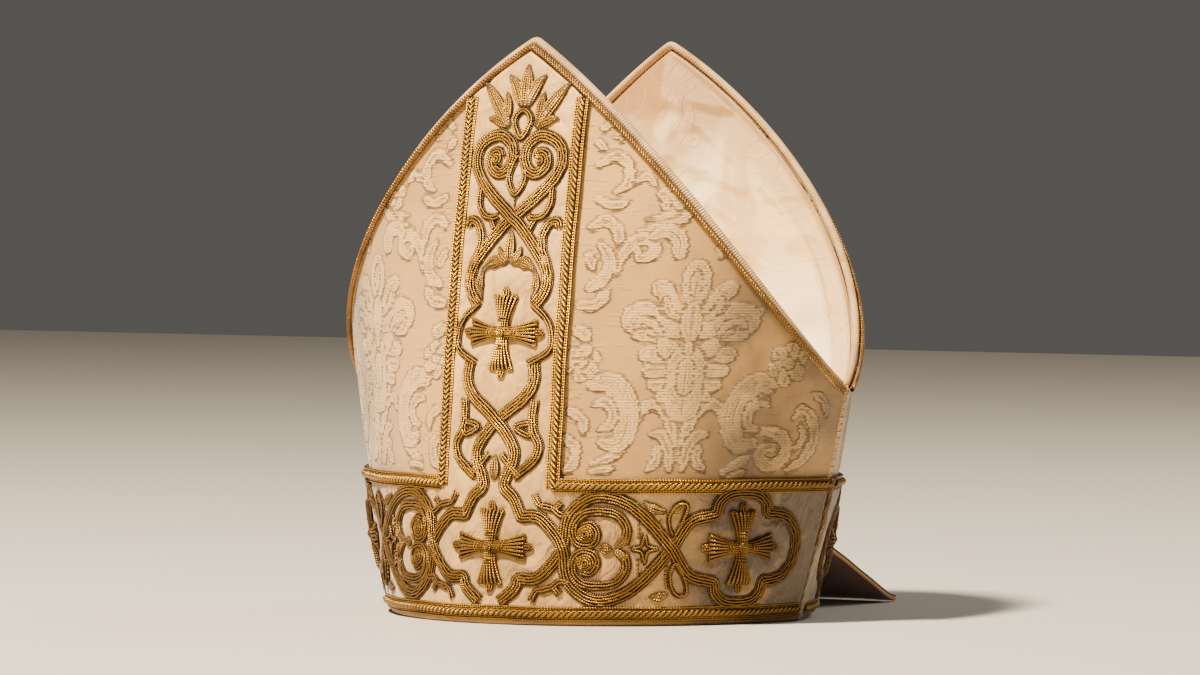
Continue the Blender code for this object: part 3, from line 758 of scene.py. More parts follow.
def couch(points, count, crossAt=(), closed=False, twin=True):
    path, marks = smoothPath(points, 1.35, closed)
    left = frames(path)[0]
    along = lengthAlong(path)
    hump = sum([np.exp(-((along - along[marks[k]]) / embroidery["riseLength"]) ** 2) for k in crossAt], 0 * along)
    for k in range(count):
        off = k - (count - 1) / 2
        hand = 0.09 * np.sin(along * 0.9 + 2.3 * k) + 0.07 * np.sin(along * 2.1 + 4.1 * k)
        cord = path + left * (off * embroidery["pitch"] + hand)[:, None]
        cord[:, 2] = face + embroidery["radius"] * 0.8 + embroidery["dome"] * (1 - (2 * off / count) ** 2) + hand
        if twin:
            couchedCords.append((mirrored(cord), embroidery["radius"], 6))
        cord[:, 2] += embroidery["rise"] * hump
        couchedCords.append((cord, embroidery["radius"], 6))
    for side in (-1, 1):
        cord = path + left * side * (count / 2 * embroidery["pitch"] + 0.2)
        cord[:, 2] = face + embroidery["outline"] * 0.8
        if twin:
            outlineCords.append((mirrored(cord), embroidery["outline"], 5))
        cord[:, 2] += embroidery["rise"] * 0.6 * hump
        outlineCords.append((cord, embroidery["outline"], 5))


for points, count, crossAt in ribbons:
    couch(points, count, crossAt)
for points, count in loops:
    couch(points, count, closed=True, twin=points[0][0] != 0)


def spiralKnob(s, z, reach, turns=3.2, lift=0.0):
    t = np.linspace(0, 1, int(turns * 13))
    turn, r = t * turns * 2 * math.pi, reach * (1 - t) + 0.35
    path = np.stack([s + r * np.cos(turn), z + r * np.sin(turn), face + 0.6 + lift + 1.5 * t ** 0.6], 1)
    couchedCords.append((path, 0.62, 6))
    couchedCords.append((mirrored(path), 0.62, 6))


for z in (41.2, 28.4):
    spiralKnob(43.8, z, 3.4)
spiralKnob(11.2, 208, 2.2, 2.2)


def leafPatch(base, tip, width, bend, lobes, side=1):
    base, tip = np.array(base, float) * (side, 1), np.array(tip, float) * (side, 1)
    run = tip - base
    t = np.linspace(0, 1, 15)
    away = np.array([-run[1], run[0]]) / np.linalg.norm(run)
    spine = base + run * t[:, None] + away * (side * bend * 4 * t * (1 - t))[:, None]
    half = width / 2 * np.sin(math.pi * np.clip(t, 0.02, 0.985) ** 0.8) ** 0.75
    if lobes:
        half *= 1 - 0.24 * np.abs(np.sin(math.pi * lobes * t)) ** 2
    way = np.gradient(spine, axis=0)
    normal = np.stack([-way[:, 1], way[:, 0]], 1) / (np.linalg.norm(way, axis=1)[:, None] + 1e-9)
    v = np.linspace(-1, 1, 9)
    flat = spine[:, None] + normal[:, None] * (v[None, :, None] * half[:, None, None])
    dome = np.clip(half / (width / 2), 0, 1)[:, None] * (0.8 * (1 - v ** 4)[None]
                                                         - 0.35 * np.exp(-(v / 0.16) ** 2)[None])
    leafParts.append(np.concatenate([flat, (face + 0.35 + dome)[:, :, None]], 2))
    count = max(3, round(width / 1.15))
    for v0 in np.linspace(-1, 1, count) * (1 - 0.8 / count):
        column = (v0 + 1) * 4
        spots = np.stack([np.interp(column, np.arange(9), flat[k, :, 0]) for k in range(15)])
        lines = np.stack([np.interp(column, np.arange(9), flat[k, :, 1]) for k in range(15)])
        high = np.array([np.interp(column, np.arange(9), row) for row in dome]) + face + 0.45
        size = np.clip(half / count * 0.98, 0.16, embroidery["radius"])
        couchedCords.append((np.stack([spots, lines, high], 1)[1:-1], size[1:-1], 6))
    outline = np.concatenate([flat[:, 0], flat[::-1, -1]])
    rimCord = np.concatenate([outline, np.full((len(outline), 1), face + 0.45)], 1)
    outlineCords.append((even(rimCord, 1.0), 0.38, 5))


for base, tip, width, bend, lobes in leaves:
    leafPatch(base, tip, width, bend, lobes)
    if abs(tip[0]) > 0.01:
        leafPatch(base, tip, width, bend, lobes, -1)


def beadChain(points):
    path = even(smoothPath(points, 1.0)[0], 0.2)
    along = lengthAlong(path)
    path[:, 2] = face + 0.55
    made = []
    for start in np.arange(0, along[-1], 1.9):
        spots = path[(along >= start) & (along < start + 1.5)]
        if len(spots) > 3:
            made.append((even(spots, 0.4), 0.7, 6))
    return made


for points in beadRows:
    for cord, radius, sides in beadChain(points):
        couchedCords.append((cord, radius, sides))
        couchedCords.append((mirrored(cord), radius, sides))

frontScrolls = cordPiece("front_scrolls", couchedCords, goldThread)
bothSides(frontScrolls, "gold_embroidery", "frame_titulus", "frame_middle", "frame_left", "frame_right")
print("scrolls:", len(frontScrolls.data.polygons), "faces")

# A thin thread sewn round every ribbon and leaf; its dark brown colour is partly a brown outline thread and partly
# painted shadow in the gaps beside the ribbons
outlineThreadAndShadow = goldCord("outline_thread_and_shadow", (0.13, 0.065, 0.02, 1), colours["goldShade"], pitch=1.0, worn=0.6,
                         metallic=0.3)
bothSides(cordPiece("front_outlines", outlineCords, outlineThreadAndShadow), "gold_embroidery")

# The leaves' dark pads, under their cords
leafPad = goldCord("leaf_pad", (0.22, 0.11, 0.03, 1), colours["goldShade"], turns=0, pitch=0.62, worn=0.6,
                   metallic=0.4, grooves=0, twist=0.75)
row, column = np.mgrid[:leafParts[0].shape[0], :leafParts[0].shape[1]]
leafUv = np.stack([column / 8, row * 0.8 + np.abs(column - 4) * 0.16], 2)
bothSides(patchPiece("front_leaves", leafParts, [leafUv] * len(leafParts), leafPad, 0.3, -1), "gold_embroidery")
print("leaves:", len(leafParts))

# The crosses: thick cords fan out along each arm over a pad, with a looped knob at each end
crosses = {
    "spots": ((0, 130.5, 20.4), (0, 34.8, 20.4), (-115.3, 34.8, 19.2), (115.3, 34.8, 19.2)),
    "reachUp": 20.4,
    "cords": 7,
    "radii": (0.48, 0.48, 0.54, 0.66, 0.76, 0.56),
    "fan": ((0.05, 0.84), (0.20, 0.80), (0.38, 1.00), (0.56, 1.36), (0.72, 1.72), (0.84, 1.90)),
    "heights": (3.0, 2.9, 2.8, 2.6, 2.3, 1.0),
    "fall": 0.17,
    "curl": {"out": 0.78, "aside": 5.2, "reach": 0.9, "high": 0.8, "radius": 0.45},
    "knob": {"out": 0.87, "loops": ((1.7, 0.13, 0.9), (0.7, 0.09, 1.3)), "radius": 0.5},
    "waist": {"out": 0.30, "gap": 0.7, "line": ((-3.0, 1.0), (0, 3.4), (3.0, 1.0)), "radius": 0.4},
    "boss": {"reach": 2.3, "turns": 2.4, "high": 3.0, "radius": 0.6},
    "pad": {"out": (0, 0.2, 0.42, 0.6, 0.74, 0.82), "half": (2.8, 2.5, 3.0, 4.1, 5.3, 5.5), "high": 1.3},
}
armWays = ((1, 0), (0, 1), (-1, 0), (0, -1))


def crossArm(cs, cz, way, reach):
    made, (wx, wz) = [], way
    curl, knob, waist = crosses["curl"], crosses["knob"], crosses["waist"]

    def at(along, aside, high):
        return (cs + wx * along - wz * aside, cz + wz * along + wx * aside, face + high)
    for off in np.arange(crosses["cords"]) - (crosses["cords"] - 1) / 2:
        dip = crosses["fall"] * off ** 2
        points = [at(reach * share, off * gap, max(0.5, high - dip))
                  for (share, gap), high in zip(crosses["fan"], crosses["heights"])]
        path, marks = smoothPath(points, 1.1)
        made.append((path, np.interp(np.arange(len(path)), marks, crosses["radii"]), 7))
    for aside in (-curl["aside"], curl["aside"]):  # curled corners
        ring = [at(reach * curl["out"] + curl["reach"] * math.cos(a), aside + curl["reach"] * math.sin(a),
                   curl["high"]) for a in np.linspace(0, 2 * math.pi, 9)]
        made.append((np.array(ring), curl["radius"], 6))
    for width, length, high in knob["loops"]:
        loop = [at(reach * (knob["out"] + length * math.cos(a)), width * math.sin(a), high)
                for a in np.linspace(0, 2 * math.pi, 13)]
        made.append((np.array(loop), knob["radius"], 6))
    for k in (-1, 1):  # the binding across the waist
        band = [at(reach * waist["out"] + k * waist["gap"], aside, high) for aside, high in waist["line"]]
        made.append((smoothPath(band, 0.8)[0], waist["radius"], 6))
    return made


def crossPad(cs, cz, way, reach):
    pad, (wx, wz) = crosses["pad"], way
    t, v = np.linspace(0, pad["out"][-1], 13)[:, None], np.linspace(-1, 1, 7)
    along, aside = t * reach + 0 * v, np.interp(t, pad["out"], pad["half"]) * v
    high = face + 0.2 + pad["high"] * (1 - v ** 4) * np.clip((pad["out"][-1] + 0.02 - t) * 6, 0, 1)
    return np.stack([cs + wx * along - wz * aside, cz + wz * along + wx * aside, high], 2)


crossCords, padParts = [], []
for cs, cz, reach in crosses["spots"]:
    for way in armWays:
        long = reach if way[0] else crosses["reachUp"]
        crossCords += crossArm(cs, cz, way, long)
        padParts.append(crossPad(cs, cz, way, long))
    boss, t = crosses["boss"], np.linspace(0, 1, 30)
    turn, r = t * boss["turns"] * 2 * math.pi, boss["reach"] * (1 - t)
    spiral = np.stack([cs + r * np.cos(turn), cz + r * np.sin(turn), face + boss["high"] + t], 1)
    crossCords.append((spiral, boss["radius"], 6))
frontCrosses = cordPiece("front_crosses", crossCords, goldThread)
bothSides(frontCrosses, "gold_embroidery", "cross_titulus", "cross_middle", "cross_left", "cross_right")
padDark = goldCord("cross_pad", (0.16, 0.08, 0.025, 1), (0.05, 0.022, 0.008, 1), turns=0, pitch=0.8, metallic=0.2,
                   roughness=0.7, grooves=0)
bothSides(patchPiece("front_cross_pads", padParts, [part[:, :, :2] for part in padParts], padDark, 0.2),
          "gold_embroidery")
print("crosses:", len(frontCrosses.data.polygons), "faces")

# The silk grounds of the two bands, puffed up between the rows of stitches
stitched = [cord[0][::2, :2] for cord in couchedCords + crossCords]


def puff(flat):
    # 0 beside a stitched cord, 1 from 3.3 mm away
    gap = np.full(len(flat), 4.0)
    for spots in stitched:
        low, high = spots.min(0) - 5, spots.max(0) + 5
        near = np.nonzero(((flat >= low) & (flat <= high)).all(1))[0]
        if len(near):
            away = np.linalg.norm(flat[near, None] - spots[None], axis=2).min(1)
            gap[near] = np.minimum(gap[near], away)
    return np.clip(gap - 0.3, 0, 3.0) / 3.0


bandShape = {"puff": 0.8, "ripple": 0.14, "thickness": 0.5, "sideColumns": 86, "middleColumns": 44, "lowRows": 42,
             "highRows": 130}


def bandLift(flat):
    s, z = flat[:, 0], flat[:, 1]
    return (mitre["bandFace"] - 0.35 + bandShape["puff"] * puff(flat)
            + bandShape["ripple"] * np.sin(s * 0.9 + np.sin(z * 0.4)) * np.sin(z * 0.5 + 1))


bandTop = mitre["circulusTop"] - mitre["galloon"] / 2
titulusInside = mitre["titulusHalf"] - mitre["galloon"] / 2


def circulusPlace(across, up):
    z = mitre["hemShown"] + mitre["galloon"] / 2 + up * (bandTop - mitre["hemShown"] - mitre["galloon"] / 2)
    middle = bandShape["middleColumns"] / (bandShape["middleColumns"] + 2 * bandShape["sideColumns"])
    inner, outer = np.minimum(np.abs(across) / middle, 1), np.maximum((np.abs(across) - middle) / (1 - middle), 0)
    end = halfGirth(z) - mitre["seamCord"] - mitre["clearance"]
    s = np.sign(across) * (inner * titulusInside + outer * (end - titulusInside))
    flat = np.stack([s, z], 1)
    return wrap(np.stack([s, z, bandLift(flat)], 1)), flat


def titulusPlace(across, up):
    s = across * titulusInside
    z = bandTop + up * (rimOver(s) - trimDrop - bandTop)
    flat = np.stack([s, z], 1)
    return wrap(np.stack([s, z, bandLift(flat)], 1)), flat


# both are cut from one piece, so their grids are joined and welded
level = clothGrid("level_silk", bandShape["middleColumns"] + 2 * bandShape["sideColumns"], bandShape["lowRows"],
                  circulusPlace, bandSilk)
ground = clothGrid("front_band_silk", bandShape["middleColumns"], bandShape["highRows"], titulusPlace, bandSilk)
makeActive(ground)
level.select_set(True)
bpy.ops.object.join()
bpy.ops.object.mode_set(mode="EDIT")
bpy.ops.mesh.select_all(action="SELECT")
bpy.ops.mesh.remove_doubles(threshold=0.00002)
bpy.ops.object.mode_set(mode="OBJECT")
thicken(ground, bandShape["thickness"])
for piece, side in bothSides(ground, "band_silk", "circulus", "titulus"):
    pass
print("band grounds made:", len(ground.data.polygons), "faces each")

# Galloons: a flat braid with fine cords along both edges and a rope or a plait between
galloon = {
    "strip": {"lift": 1.7, "thickness": 0.6},
    "rope": {"lift": 2.5, "strands": 3, "coil": 0.86, "radius": 0.82, "pitch": 8.0},
    "plait": {"aside": 0.78, "strands": 2, "coil": 0.46, "radius": 0.6, "pitch": 4.6},
    "cords": ((-2.78, 0.5, 2.05), (2.78, 0.5, 2.05), (-1.95, 0.34, 2.0), (1.95, 0.34, 2.0)),  # aside, radius, lift
    "wander": 0.14,
}
braidFlat = goldCord("braid_ground", colours["copper"], colours["goldShade"], turns=0, pitch=0.9, worn=0.8,
                     metallic=0.4, grooves=0)


def braidCords(points, plait):
    rope, twin = galloon["rope"], galloon["plait"]
    path = even(np.array([(*point, 0.0) for point in points], float), 1.2)
    path += frames(path)[0] * (galloon["wander"] * np.sin(lengthAlong(path) * 0.13))[:, None]
    left = frames(path)[0]
    edges = []
    for off, radius, lift in galloon["cords"]:
        line = path + left * off
        line[:, 2] = lift
        edges.append((line, radius, 6))
    path[:, 2] = rope["lift"]
    if plait:
        return edges, sum([strands(path + left * hand * twin["aside"], twin["strands"], twin["coil"], twin["radius"],
                                   twin["pitch"], -hand) for hand in (-1, 1)], [])
    return edges, strands(path, rope["strands"], rope["coil"], rope["radius"], rope["pitch"], -1)


inner = mitre["titulusHalf"] - mitre["galloon"]
low = mitre["circulusTop"] - mitre["galloon"]
halfWide = mitre["galloon"] / 2
midZ = low + halfWide
seamGap = mitre["seamCord"] + mitre["clearance"]
lowerEnd = float(halfGirth(mitre["hemShown"] + halfWide)) - seamGap
upperEnd = float(halfGirth(midZ)) - seamGap
corner = inner + halfWide
top = float(rimOver([corner])[0]) - trimDrop


def stripPlace(kind):
    def place(across, up):
        if kind == "lower":
            s, z = across * lowerEnd, mitre["hemShown"] + up * mitre["galloon"]
        elif kind[0] == "level":
            z = low + up * mitre["galloon"]
            start = inner + up * mitre["galloon"] + 0.2
            along = (1 + kind[1] * across) / 2
            s = kind[1] * (start + along * (upperEnd - start))
        else:
            s = kind[1] * corner + across * halfWide
            z = low + np.abs(s) - inner
            z = z + up * (rimOver(s) - trimDrop - z)
        return wrap(np.stack([s, z, galloon["strip"]["lift"] + 0 * s], 1)), np.stack([s, z], 1)
    return place


lowZ = mitre["hemShown"] + halfWide
braidSets = [("lower_galloon", (("lower", 220, 3),), ((((-lowerEnd, lowZ), (lowerEnd, lowZ)), False),),
              ("lower_galloon",))]  # name, strips, lines with plait or not, nodes replaced
for hand, name in ((-1, "left"), (1, "right")):
    braidSets.append((name + "_galloon", ((("level", hand), 90, 3), (("upright", hand), 3, 110)),
                      ((((hand * upperEnd, midZ), (hand * (corner + 0.6), midZ)), False),
                       (((hand * corner, midZ - 1.5), (hand * corner, top)), hand < 0)),
                      ("upper_galloon_" + name, "upright_galloon_" + name)))
for name, strips, lines, nodes in braidSets:
    edgeCords, ropeCords = [], []
    for points, plait in lines:
        edges, made = braidCords(points, plait)
        edgeCords += edges
        ropeCords += made
    bothSides(cordPiece("front_" + name + "_edges", edgeCords, goldEdge), "gold_braid")
    (rope, side), (twin, other) = bothSides(cordPiece("front_" + name, ropeCords, goldRope), "gold_braid")
    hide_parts(*[side + node for node in nodes])
    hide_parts(*[either + node for either in (other, side) for node in nodes])  # the front's are named too
    for number, (kind, columns, rows) in enumerate(strips):
        strip = clothGrid("front_" + name + "_ground" + str(number), columns, rows, stripPlace(kind), braidFlat)
        strip.data.uv_layers[0].name = "Cord"
        thicken(strip, galloon["strip"]["thickness"])
        bothSides(strip, "gold_braid")
print("galloons made")

# The padded edge and the twisted piping along the slopes
edge = {"radius": 1.75, "pipingOut": 0.1, "points": 150, "pipingPitch": 4.6, "pipingCoil": 0.70,
        "pipingStrand": 0.76, "reach": 3.6}


def slopeLine(away, lift):
    reach = float(halfGirth(mitre["corner"])) - edge["reach"]
    s = np.linspace(-reach, reach, 2 * edge["points"] + 1)
    line = np.stack([s, rimOver(s)], 1)
    way = np.gradient(line, axis=0)
    half = len(s) // 2
    normal = np.stack([-way[:, 1], way[:, 0]], 1)
    normal /= np.linalg.norm(normal, axis=1)[:, None]
    left, right = line[:half] + normal[:half] * away, line[half + 1:] + normal[half + 1:] * away
    made = [left]
    if away > 0:  # a rounded point at the tip
        lean = math.atan2(normal[half - 2, 1], normal[half - 2, 0])
        for angle in np.linspace(lean, math.pi - lean, 7):
            made.append(line[half:half + 1] + away * np.array([[math.cos(angle), math.sin(angle)]]))
    else:
        made.append(np.array([[0, line[half, 1] + away * 1.4]]))
    made.append(right)
    flat = np.concatenate(made)
    return np.concatenate([flat, np.full((len(flat), 1), lift)], 1)


rollLine = slopeLine(mitre["clearance"] + 2 * mitre["roll"] - edge["radius"], -wall / 2)
bothSides(cordPiece("front_edge", [(even(rollLine, 1.4), edge["radius"], 14)], edgeSilk), "edge_silk", "edge_roll")
pipingLine = slopeLine(edge["pipingOut"], mitre["clearance"] + mitre["piping"])
pipingCords = strands(pipingLine, 3, edge["pipingCoil"], edge["pipingStrand"], edge["pipingPitch"])
bothSides(cordPiece("front_gold_piping", pipingCords, pipingGold), "gold_cord", "piping")
print("edges made")

# The silk web folded into the valley
webShape = {"reach": 0.97, "gap": 0.6, "thickness": 1.0, "foldHalf": 120.0, "foldDrop": 3.0, "foldSag": 9.0,
            "soft": 0.12, "seamInset": 5.5, "seamDepth": 0.35, "tuck": 1.5, "crease": 1.5, "columns": 150, "rows": 170}
webCreases = (
    # from x, z to x, z, half width, height, on the wall of the back horn
    ((8, 246), (2, 170), 2.0, 1.6), ((-20, 226), (12, 214), 3.0, 0.9), ((10, 210), (44, 196), 4.0, 1.2),
    ((-6, 196), (30, 178), 5.0, -1.2), ((30, 190), (66, 168), 4.5, 1.3), ((48, 172), (88, 140), 5.0, 1.2),
    ((-48, 196), (-16, 160), 5.0, 1.2), ((-78, 160), (-40, 138), 6.0, -1.3), ((64, 132), (100, 118), 5.0, 1.0),
    ((0, 150), (52, 140), 7.0, -1.3), ((-60, 128), (6, 122), 7.0, 1.1), ((20, 128), (84, 116), 6.0, 1.0),
)


def webPlace(across, up):
    inset = wall + webShape["gap"] + webShape["thickness"]

    def edgeAt(u):
        z = rim(u) - webShape["thickness"]
        x, y, nx, ny = section(u, z)
        return x - nx * inset, y - ny * inset, z
    topX, topY, topZ = edgeAt(across * webShape["reach"])
    sewnX, sewnY, sewnZ = edgeAt(np.array([webShape["reach"]]))
    share = topX / sewnX
    foldX, foldZ = webShape["foldHalf"] * share, sewnZ - webShape["foldDrop"] - webShape["foldSag"] * (1 - share ** 2)
    out, soft = np.abs(2 * up - 1), webShape["soft"]
    climb = (np.hypot(out, soft) - soft) / (math.hypot(1, soft) - soft)
    x, z = foldX + (topX - foldX) * climb, foldZ + (topZ - foldZ) * climb
    y = topY * out * np.where(up > 0.5, -1, 1)
    free = np.clip((1 - out) * 5, 0, 1) * np.clip((1 - np.abs(across)) * 8, 0, 1)
    move = 0 * x
    for (x0, z0), (x1, z1), half, high in webCreases:
        sx = np.where(up > 0.5, x, -x)
        run = np.array([x1 - x0, z1 - z0], float)
        t = np.clip(((sx - x0) * run[0] + (z - z0) * run[1]) / (run @ run), 0, 1)
        gap = np.hypot(sx - x0 - t * run[0], z - z0 - t * run[1])
        move += webShape["crease"] * high * np.exp(-(gap / half) ** 2)
    move += 0.35 * np.sin(x * 0.16 + z * 0.09) * np.sin(z * 0.13)
    inward = (1 - out) * np.hypot(topY, topZ - foldZ)
    webShape["inward"] = inward
    move += webShape["crease"] * 0.9 * np.exp(-((inward - 17 - 3 * np.sin(topZ * 0.06)) / 2.2) ** 2)
    move -= webShape["seamDepth"] * np.exp(-((inward - webShape["seamInset"]) / 0.9) ** 2) / (free * out + 0.05)
    y = y - np.where(up > 0.5, 1, -1) * move * free * out
    z = z + 0.5 * move * free * (1 - out)
    tuck = webShape["tuck"] * np.clip(1 - inward / 1.6, 0, 1) * np.clip((1 - np.abs(across)) * 30, 0, 1)
    edgeNx, edgeNy = section(across * webShape["reach"], topZ)[2:]
    x, y = x + edgeNx * tuck, y + edgeNy * tuck * np.where(up > 0.5, -1, 1)
    span = np.where(up > 0.5, 1, -1) * np.hypot(y, z - foldZ)
    return np.stack([x, y + axisY, z], 1) * mm, np.stack([x, span], 1)


def webSilk():
    # patches and stains of age, a stained rim, fine wrinkles with painted shade along them
    made, shader = startMaterial("web_silk", Roughness=0.36, Sheen_Weight=0.3, Specular_IOR_Level=0.55,
                                 Anisotropic=0.3)
    where = objectPlace()
    across, down = apart(uvMap("Flat"))[:2]
    height = apart(where)[2]
    cloudy = noise(where, 14.0, 4)
    colour = blendColour(fade(cloudy, 0.35, 0.65), colours["web"], colours["webShade"])
    rimStain = fade(calc("ADD", kept("inward"), times(cloudy, 14)), 27, 19, 0.0, 0.7)
    amber = times(fade(noise(where, 13.0, 4, 0.6, 0.9), 0.47, 0.58), fade(height, 0.11, 0.21, 0.3, 0.8))
    streaks = fade(noise(objectPlace((1.0, 1.0, 0.5)), 26.0, 4, 0.55, 0.5), 0.34, 0.54, 0.25, 1.0)
    tipStain = times(times(streaks, fade(height, 0.185, 0.235, 0.06, 1.0)), 0.85)
    wrinkle = fade(calc("PINGPONG", times(noise(where, 17.0, 2, 0.45, 1.4), 9.0), 0.5), 0.10, 0.0)
    wrinkle = times(wrinkle, fade(noise(where, 40.0, 2), 0.42, 0.58))
    # the last of these is painted shade along the wrinkles; the others are stains
    for share, stain in ((rimStain, (0.66, 0.36, 0.10, 1)), (amber, (0.68, 0.37, 0.10, 1)),
                         (tipStain, (0.40, 0.19, 0.05, 1)), (times(wrinkle, 0.28), (0.52, 0.30, 0.11, 1))):
        colour = blendColour(share, colour, stain)
    normal = bump(calc("ADD", ribs(across, 0.0045), ribs(down, 0.0045)), 0.00012, 0.35)
    normal = bump(noise(objectPlace((1.0, 1.0, 1.5)), 22.0, 2, 0.45, 0.5), 0.009, 0.6, normal)
    plug(shader, Base_Color=colour, Normal=bump(wrinkle, 0.0004, 0.4, normal))
    return made


web = clothGrid("web", webShape["columns"], webShape["rows"], webPlace, webSilk())
setAttribute(web, "inward", webShape["inward"])
thicken(web, webShape["thickness"])
settle(web, "web_silk", "crown_web")
print("web made")

# The side seams: a cord, the turned edges of the walls and the stitches that hold them together
seam = {"cordRise": 0.25, "strands": 3, "coil": 0.62, "radius": 0.72, "pitch": 5.0}
sideEdge = {"radius": 0.85, "setback": 0.85, "low": 1.2, "rows": 13, "stitchRadius": 0.32}
stitchThread = goldCord("stitch_thread", (0.86, 0.74, 0.55, 1), (0.40, 0.27, 0.13, 1), metallic=0.0, roughness=0.5,
                        grooves=0.5)


def sidePiece(name, cords, finish, *nodes):  # made with y and z changed over, and turned back here
    piece = cordPiece(name, cords, finish, place=lambda p: p[:, [0, 2, 1]] * mm)
    piece.data.flip_normals()
    settle(piece, *nodes)


z = np.linspace(mitre["hemShown"], mitre["circulusTop"], 40)
x = section(np.ones(40), z)[0] + mitre["clearance"] + mitre["seamCord"]
for side, name in ((1, "right"), (-1, "left")):
    route = np.stack([side * x, z, axisY + seam["cordRise"] * np.sin(z * 0.7)], 1)
    sidePiece(name + "_seam", strands(route, seam["strands"], seam["coil"], seam["radius"], seam["pitch"]), wornGold,
              "worn_cord", name + "_seam_cord")
z = np.linspace(sideEdge["low"], mitre["corner"] - 1.5, 70)
reach = halfGirth(z) - sideEdge["setback"]
sideCords = [(np.stack([side * reach, z, 0 * z - sideEdge["radius"] + 0.35], 1), sideEdge["radius"], 8)
             for side in (-1, 1)]
bothSides(cordPiece("front_side_edges", sideCords, edgeSilk), "edge_silk")
t = np.linspace(-1, 1, 7)
for side, name in ((1, "right"), (-1, "left")):
    made = []
    for z in np.linspace(mitre["circulusTop"] + 1.5, mitre["corner"] - 3, sideEdge["rows"]):
        x = float(section(np.array([1.0]), np.array([z]))[0][0])
        slant = 0.5 * np.sin(z * 1.7)
        stitch = np.stack([side * (x + 0.62 - 0.5 * t ** 2), z + slant * t, axisY + 1.5 * t], 1)
        made.append((stitch, sideEdge["stitchRadius"], 5))
    sidePiece(name + "_side_stitches", made, stitchThread, "edge_silk")

# The lappets, sewn on the back band and falling straight out to the table
lappet = {"width": 44.0, "spacing": 104.0, "top": 57.0, "reach": 66.0, "thickness": 2.0}
lappetLine = (
    # out, up and how flat, as shares of the reach, of the sewn height and of a flat section
    (0.000, 1.000, 0.0), (0.000, 0.840, 0.0), (0.003, 0.700, 0.0), (0.022, 0.610, 0.1), (0.075, 0.545, 0.4),
    (0.170, 0.475, 0.6), (0.300, 0.390, 0.8), (0.450, 0.300, 0.9), (0.620, 0.205, 1.0), (0.780, 0.125, 1.0),
    (0.900, 0.070, 1.0), (1.000, 0.045, 1.0),
)


def lappetPlace(side):
    table = smoothPath(lappetLine, 0.02)[0]
    share = lengthAlong(table * (lappet["reach"], lappet["top"], 0))
    share /= share[-1]

    def place(across, up):
        out, high, level = (np.interp(1 - up, share, table[:, k]) for k in range(3))
        z = np.maximum(high * lappet["top"], lappet["thickness"] + mitre["clearance"])
        lift = mitre["bandFace"] + mitre["clearance"] + lappet["thickness"]
        middle = side * lappet["spacing"] / 2
        width = across * lappet["width"] / 2
        bent = wrap(np.stack([middle + width, z, lift + 0 * z], 1)) / mm
        straight = wrap(np.stack([middle + 0 * z, z, lift + 0 * z], 1)) / mm
        straight[:, 0] += width
        points = bent + (straight - bent) * level[:, None]
        points[:, 1] -= out * lappet["reach"]
        points[:, 2] += 0.35 * np.sin(across * 2.6) * (1 - level) + 0.12 * np.cos(across * math.pi)
        return points * mm, np.stack([width, z + out * lappet["reach"]], 1)
    return place


lappetTop = silk("lappet_silk", (colours["ground"], colours["groundShade"]), "weft", stain=0.3)
lappetUnder = silk("lappet_underside", ((0.16, 0.045, 0.03, 1), (0.11, 0.03, 0.02, 1)), "weft", stain=0.3,
                   stainAndCreaseShade=(0.06, 0.02, 0.012, 1))
for side, name in ((1, "left"), (-1, "right")):
    piece = clothGrid("lappet_" + name + "_band", 30, 80, lappetPlace(side), lappetTop)
    piece.data.transform(halfTurn)
    piece.data.materials.append(lappetUnder)
    thicken(piece, lappet["thickness"], material_offset=1)
    settle(piece, "lappet_silk", "lappet_" + name)
    down, level = np.linspace(0.99, 0.01, 60), np.linspace(-1, 1, 12)
    rimWay = np.array([(-1, t) for t in down] + [(t, 0.005) for t in level] + [(1, t) for t in down[::-1]])
    rimLine = lappetPlace(side)(rimWay[:, 0] * 0.985, rimWay[:, 1])[0] / mm
    rimLine[:, 2] += 0.15
    binding = cordPiece("lappet_" + name + "_binding", [(even(rimLine, 1.2), 0.55, 6)], goldEdge,
                        place=lambda p: p * mm)
    binding.data.transform(halfTurn)
    settle(binding, "gold_braid")
print("lappets made")

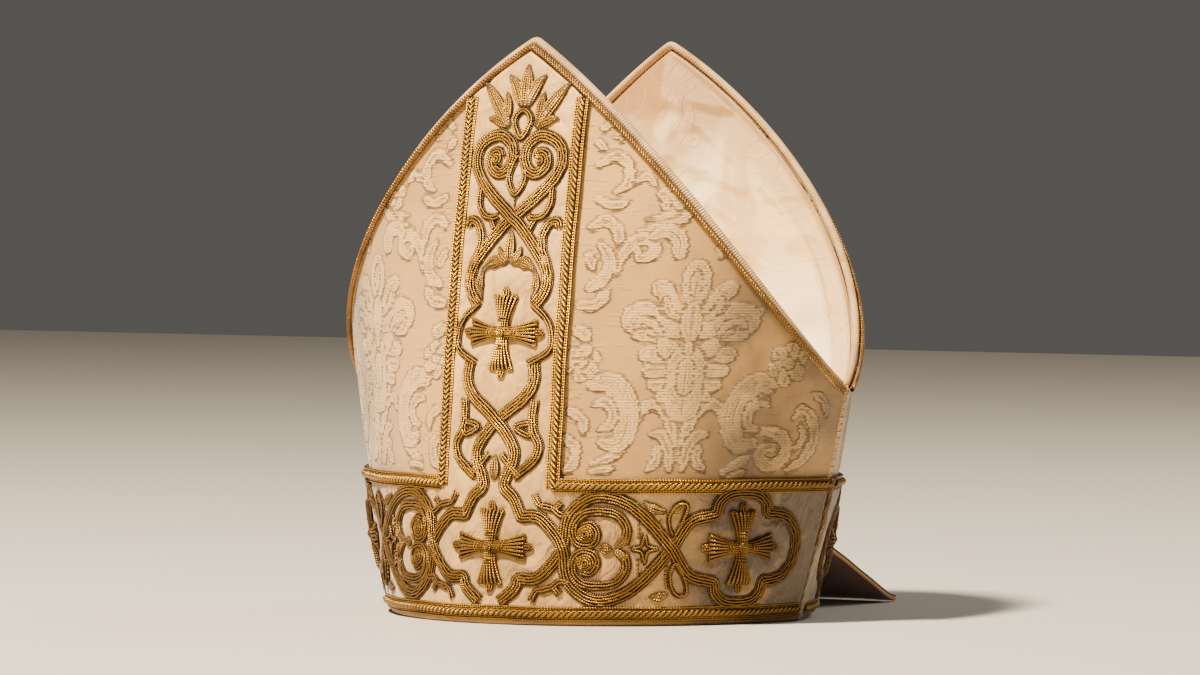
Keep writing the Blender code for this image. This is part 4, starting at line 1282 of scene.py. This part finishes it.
# Stage, lights and camera
stageLook = {"floor": (0.56, 0.545, 0.52, 1), "size": 8.0, "world": (1.0, 0.95, 0.88, 1), "worldStrength": 0.10}
bpy.ops.object.select_all(action="DESELECT")
bpy.ops.mesh.primitive_plane_add(size=stageLook["size"])
floor = bpy.context.object
floor.name = "floor"
floor.data.materials.append(startMaterial("floor_pale", Roughness=0.7, Base_Color=stageLook["floor"])[0])
world = bpy.data.worlds.new("studio")
world.use_nodes = True
world.node_tree.nodes["Background"].inputs[0].default_value = stageLook["world"]
world.node_tree.nodes["Background"].inputs[1].default_value = stageLook["worldStrength"]
bpy.context.scene.world = world

lights = (
    # name, place, size, watts, colour
    ("key", (-0.47, -1.44, 2.45), 0.32, 335, (1.0, 0.82, 0.575)),
    ("fill", (1.7, -1.9, 0.7), 1.4, 2, (1.0, 0.86, 0.70)),
    ("back", (0.9, 1.6, 1.6), 1.2, 24, (1.0, 0.90, 0.78)),
)
for name, place, size, watts, colour in lights:
    bpy.ops.object.light_add(type="AREA", location=place)
    lamp = bpy.context.object
    lamp.name = name
    lamp.data.size, lamp.data.energy, lamp.data.color = size, watts, colour
    lamp.rotation_euler = (Vector((0, 0, 0.12)) - Vector(place)).to_track_quat("-Z", "Y").to_euler()

shot = {"azimuth": math.radians(30), "distance": 3.312, "height": 0.212, "aimAcross": -0.00136, "aimHeight": 0.1265,
        "roll": math.radians(0.415), "lens": 216.3}
across = Vector((math.cos(shot["azimuth"]), math.sin(shot["azimuth"]), 0))
eye = Vector((shot["distance"] * math.sin(shot["azimuth"]), -shot["distance"] * math.cos(shot["azimuth"]),
              shot["height"]))
forward = (across * shot["aimAcross"] + Vector((0, 0, shot["aimHeight"])) - eye).normalized()
right = forward.cross(Vector((0, 0, 1))).normalized()
upward = right.cross(forward)
rolledRight = right * math.cos(shot["roll"]) + upward * math.sin(shot["roll"])
rolledUp = upward * math.cos(shot["roll"]) - right * math.sin(shot["roll"])
bpy.ops.object.camera_add()
camera = bpy.context.object
turned = Matrix((rolledRight, rolledUp, -forward)).transposed().to_4x4()
camera.matrix_world = Matrix.Translation(eye + Vector((0, axisY * mm, 0))) @ turned
camera.data.lens, camera.data.sensor_width = shot["lens"], 36
camera.data.clip_end = 50
bpy.context.scene.camera = camera
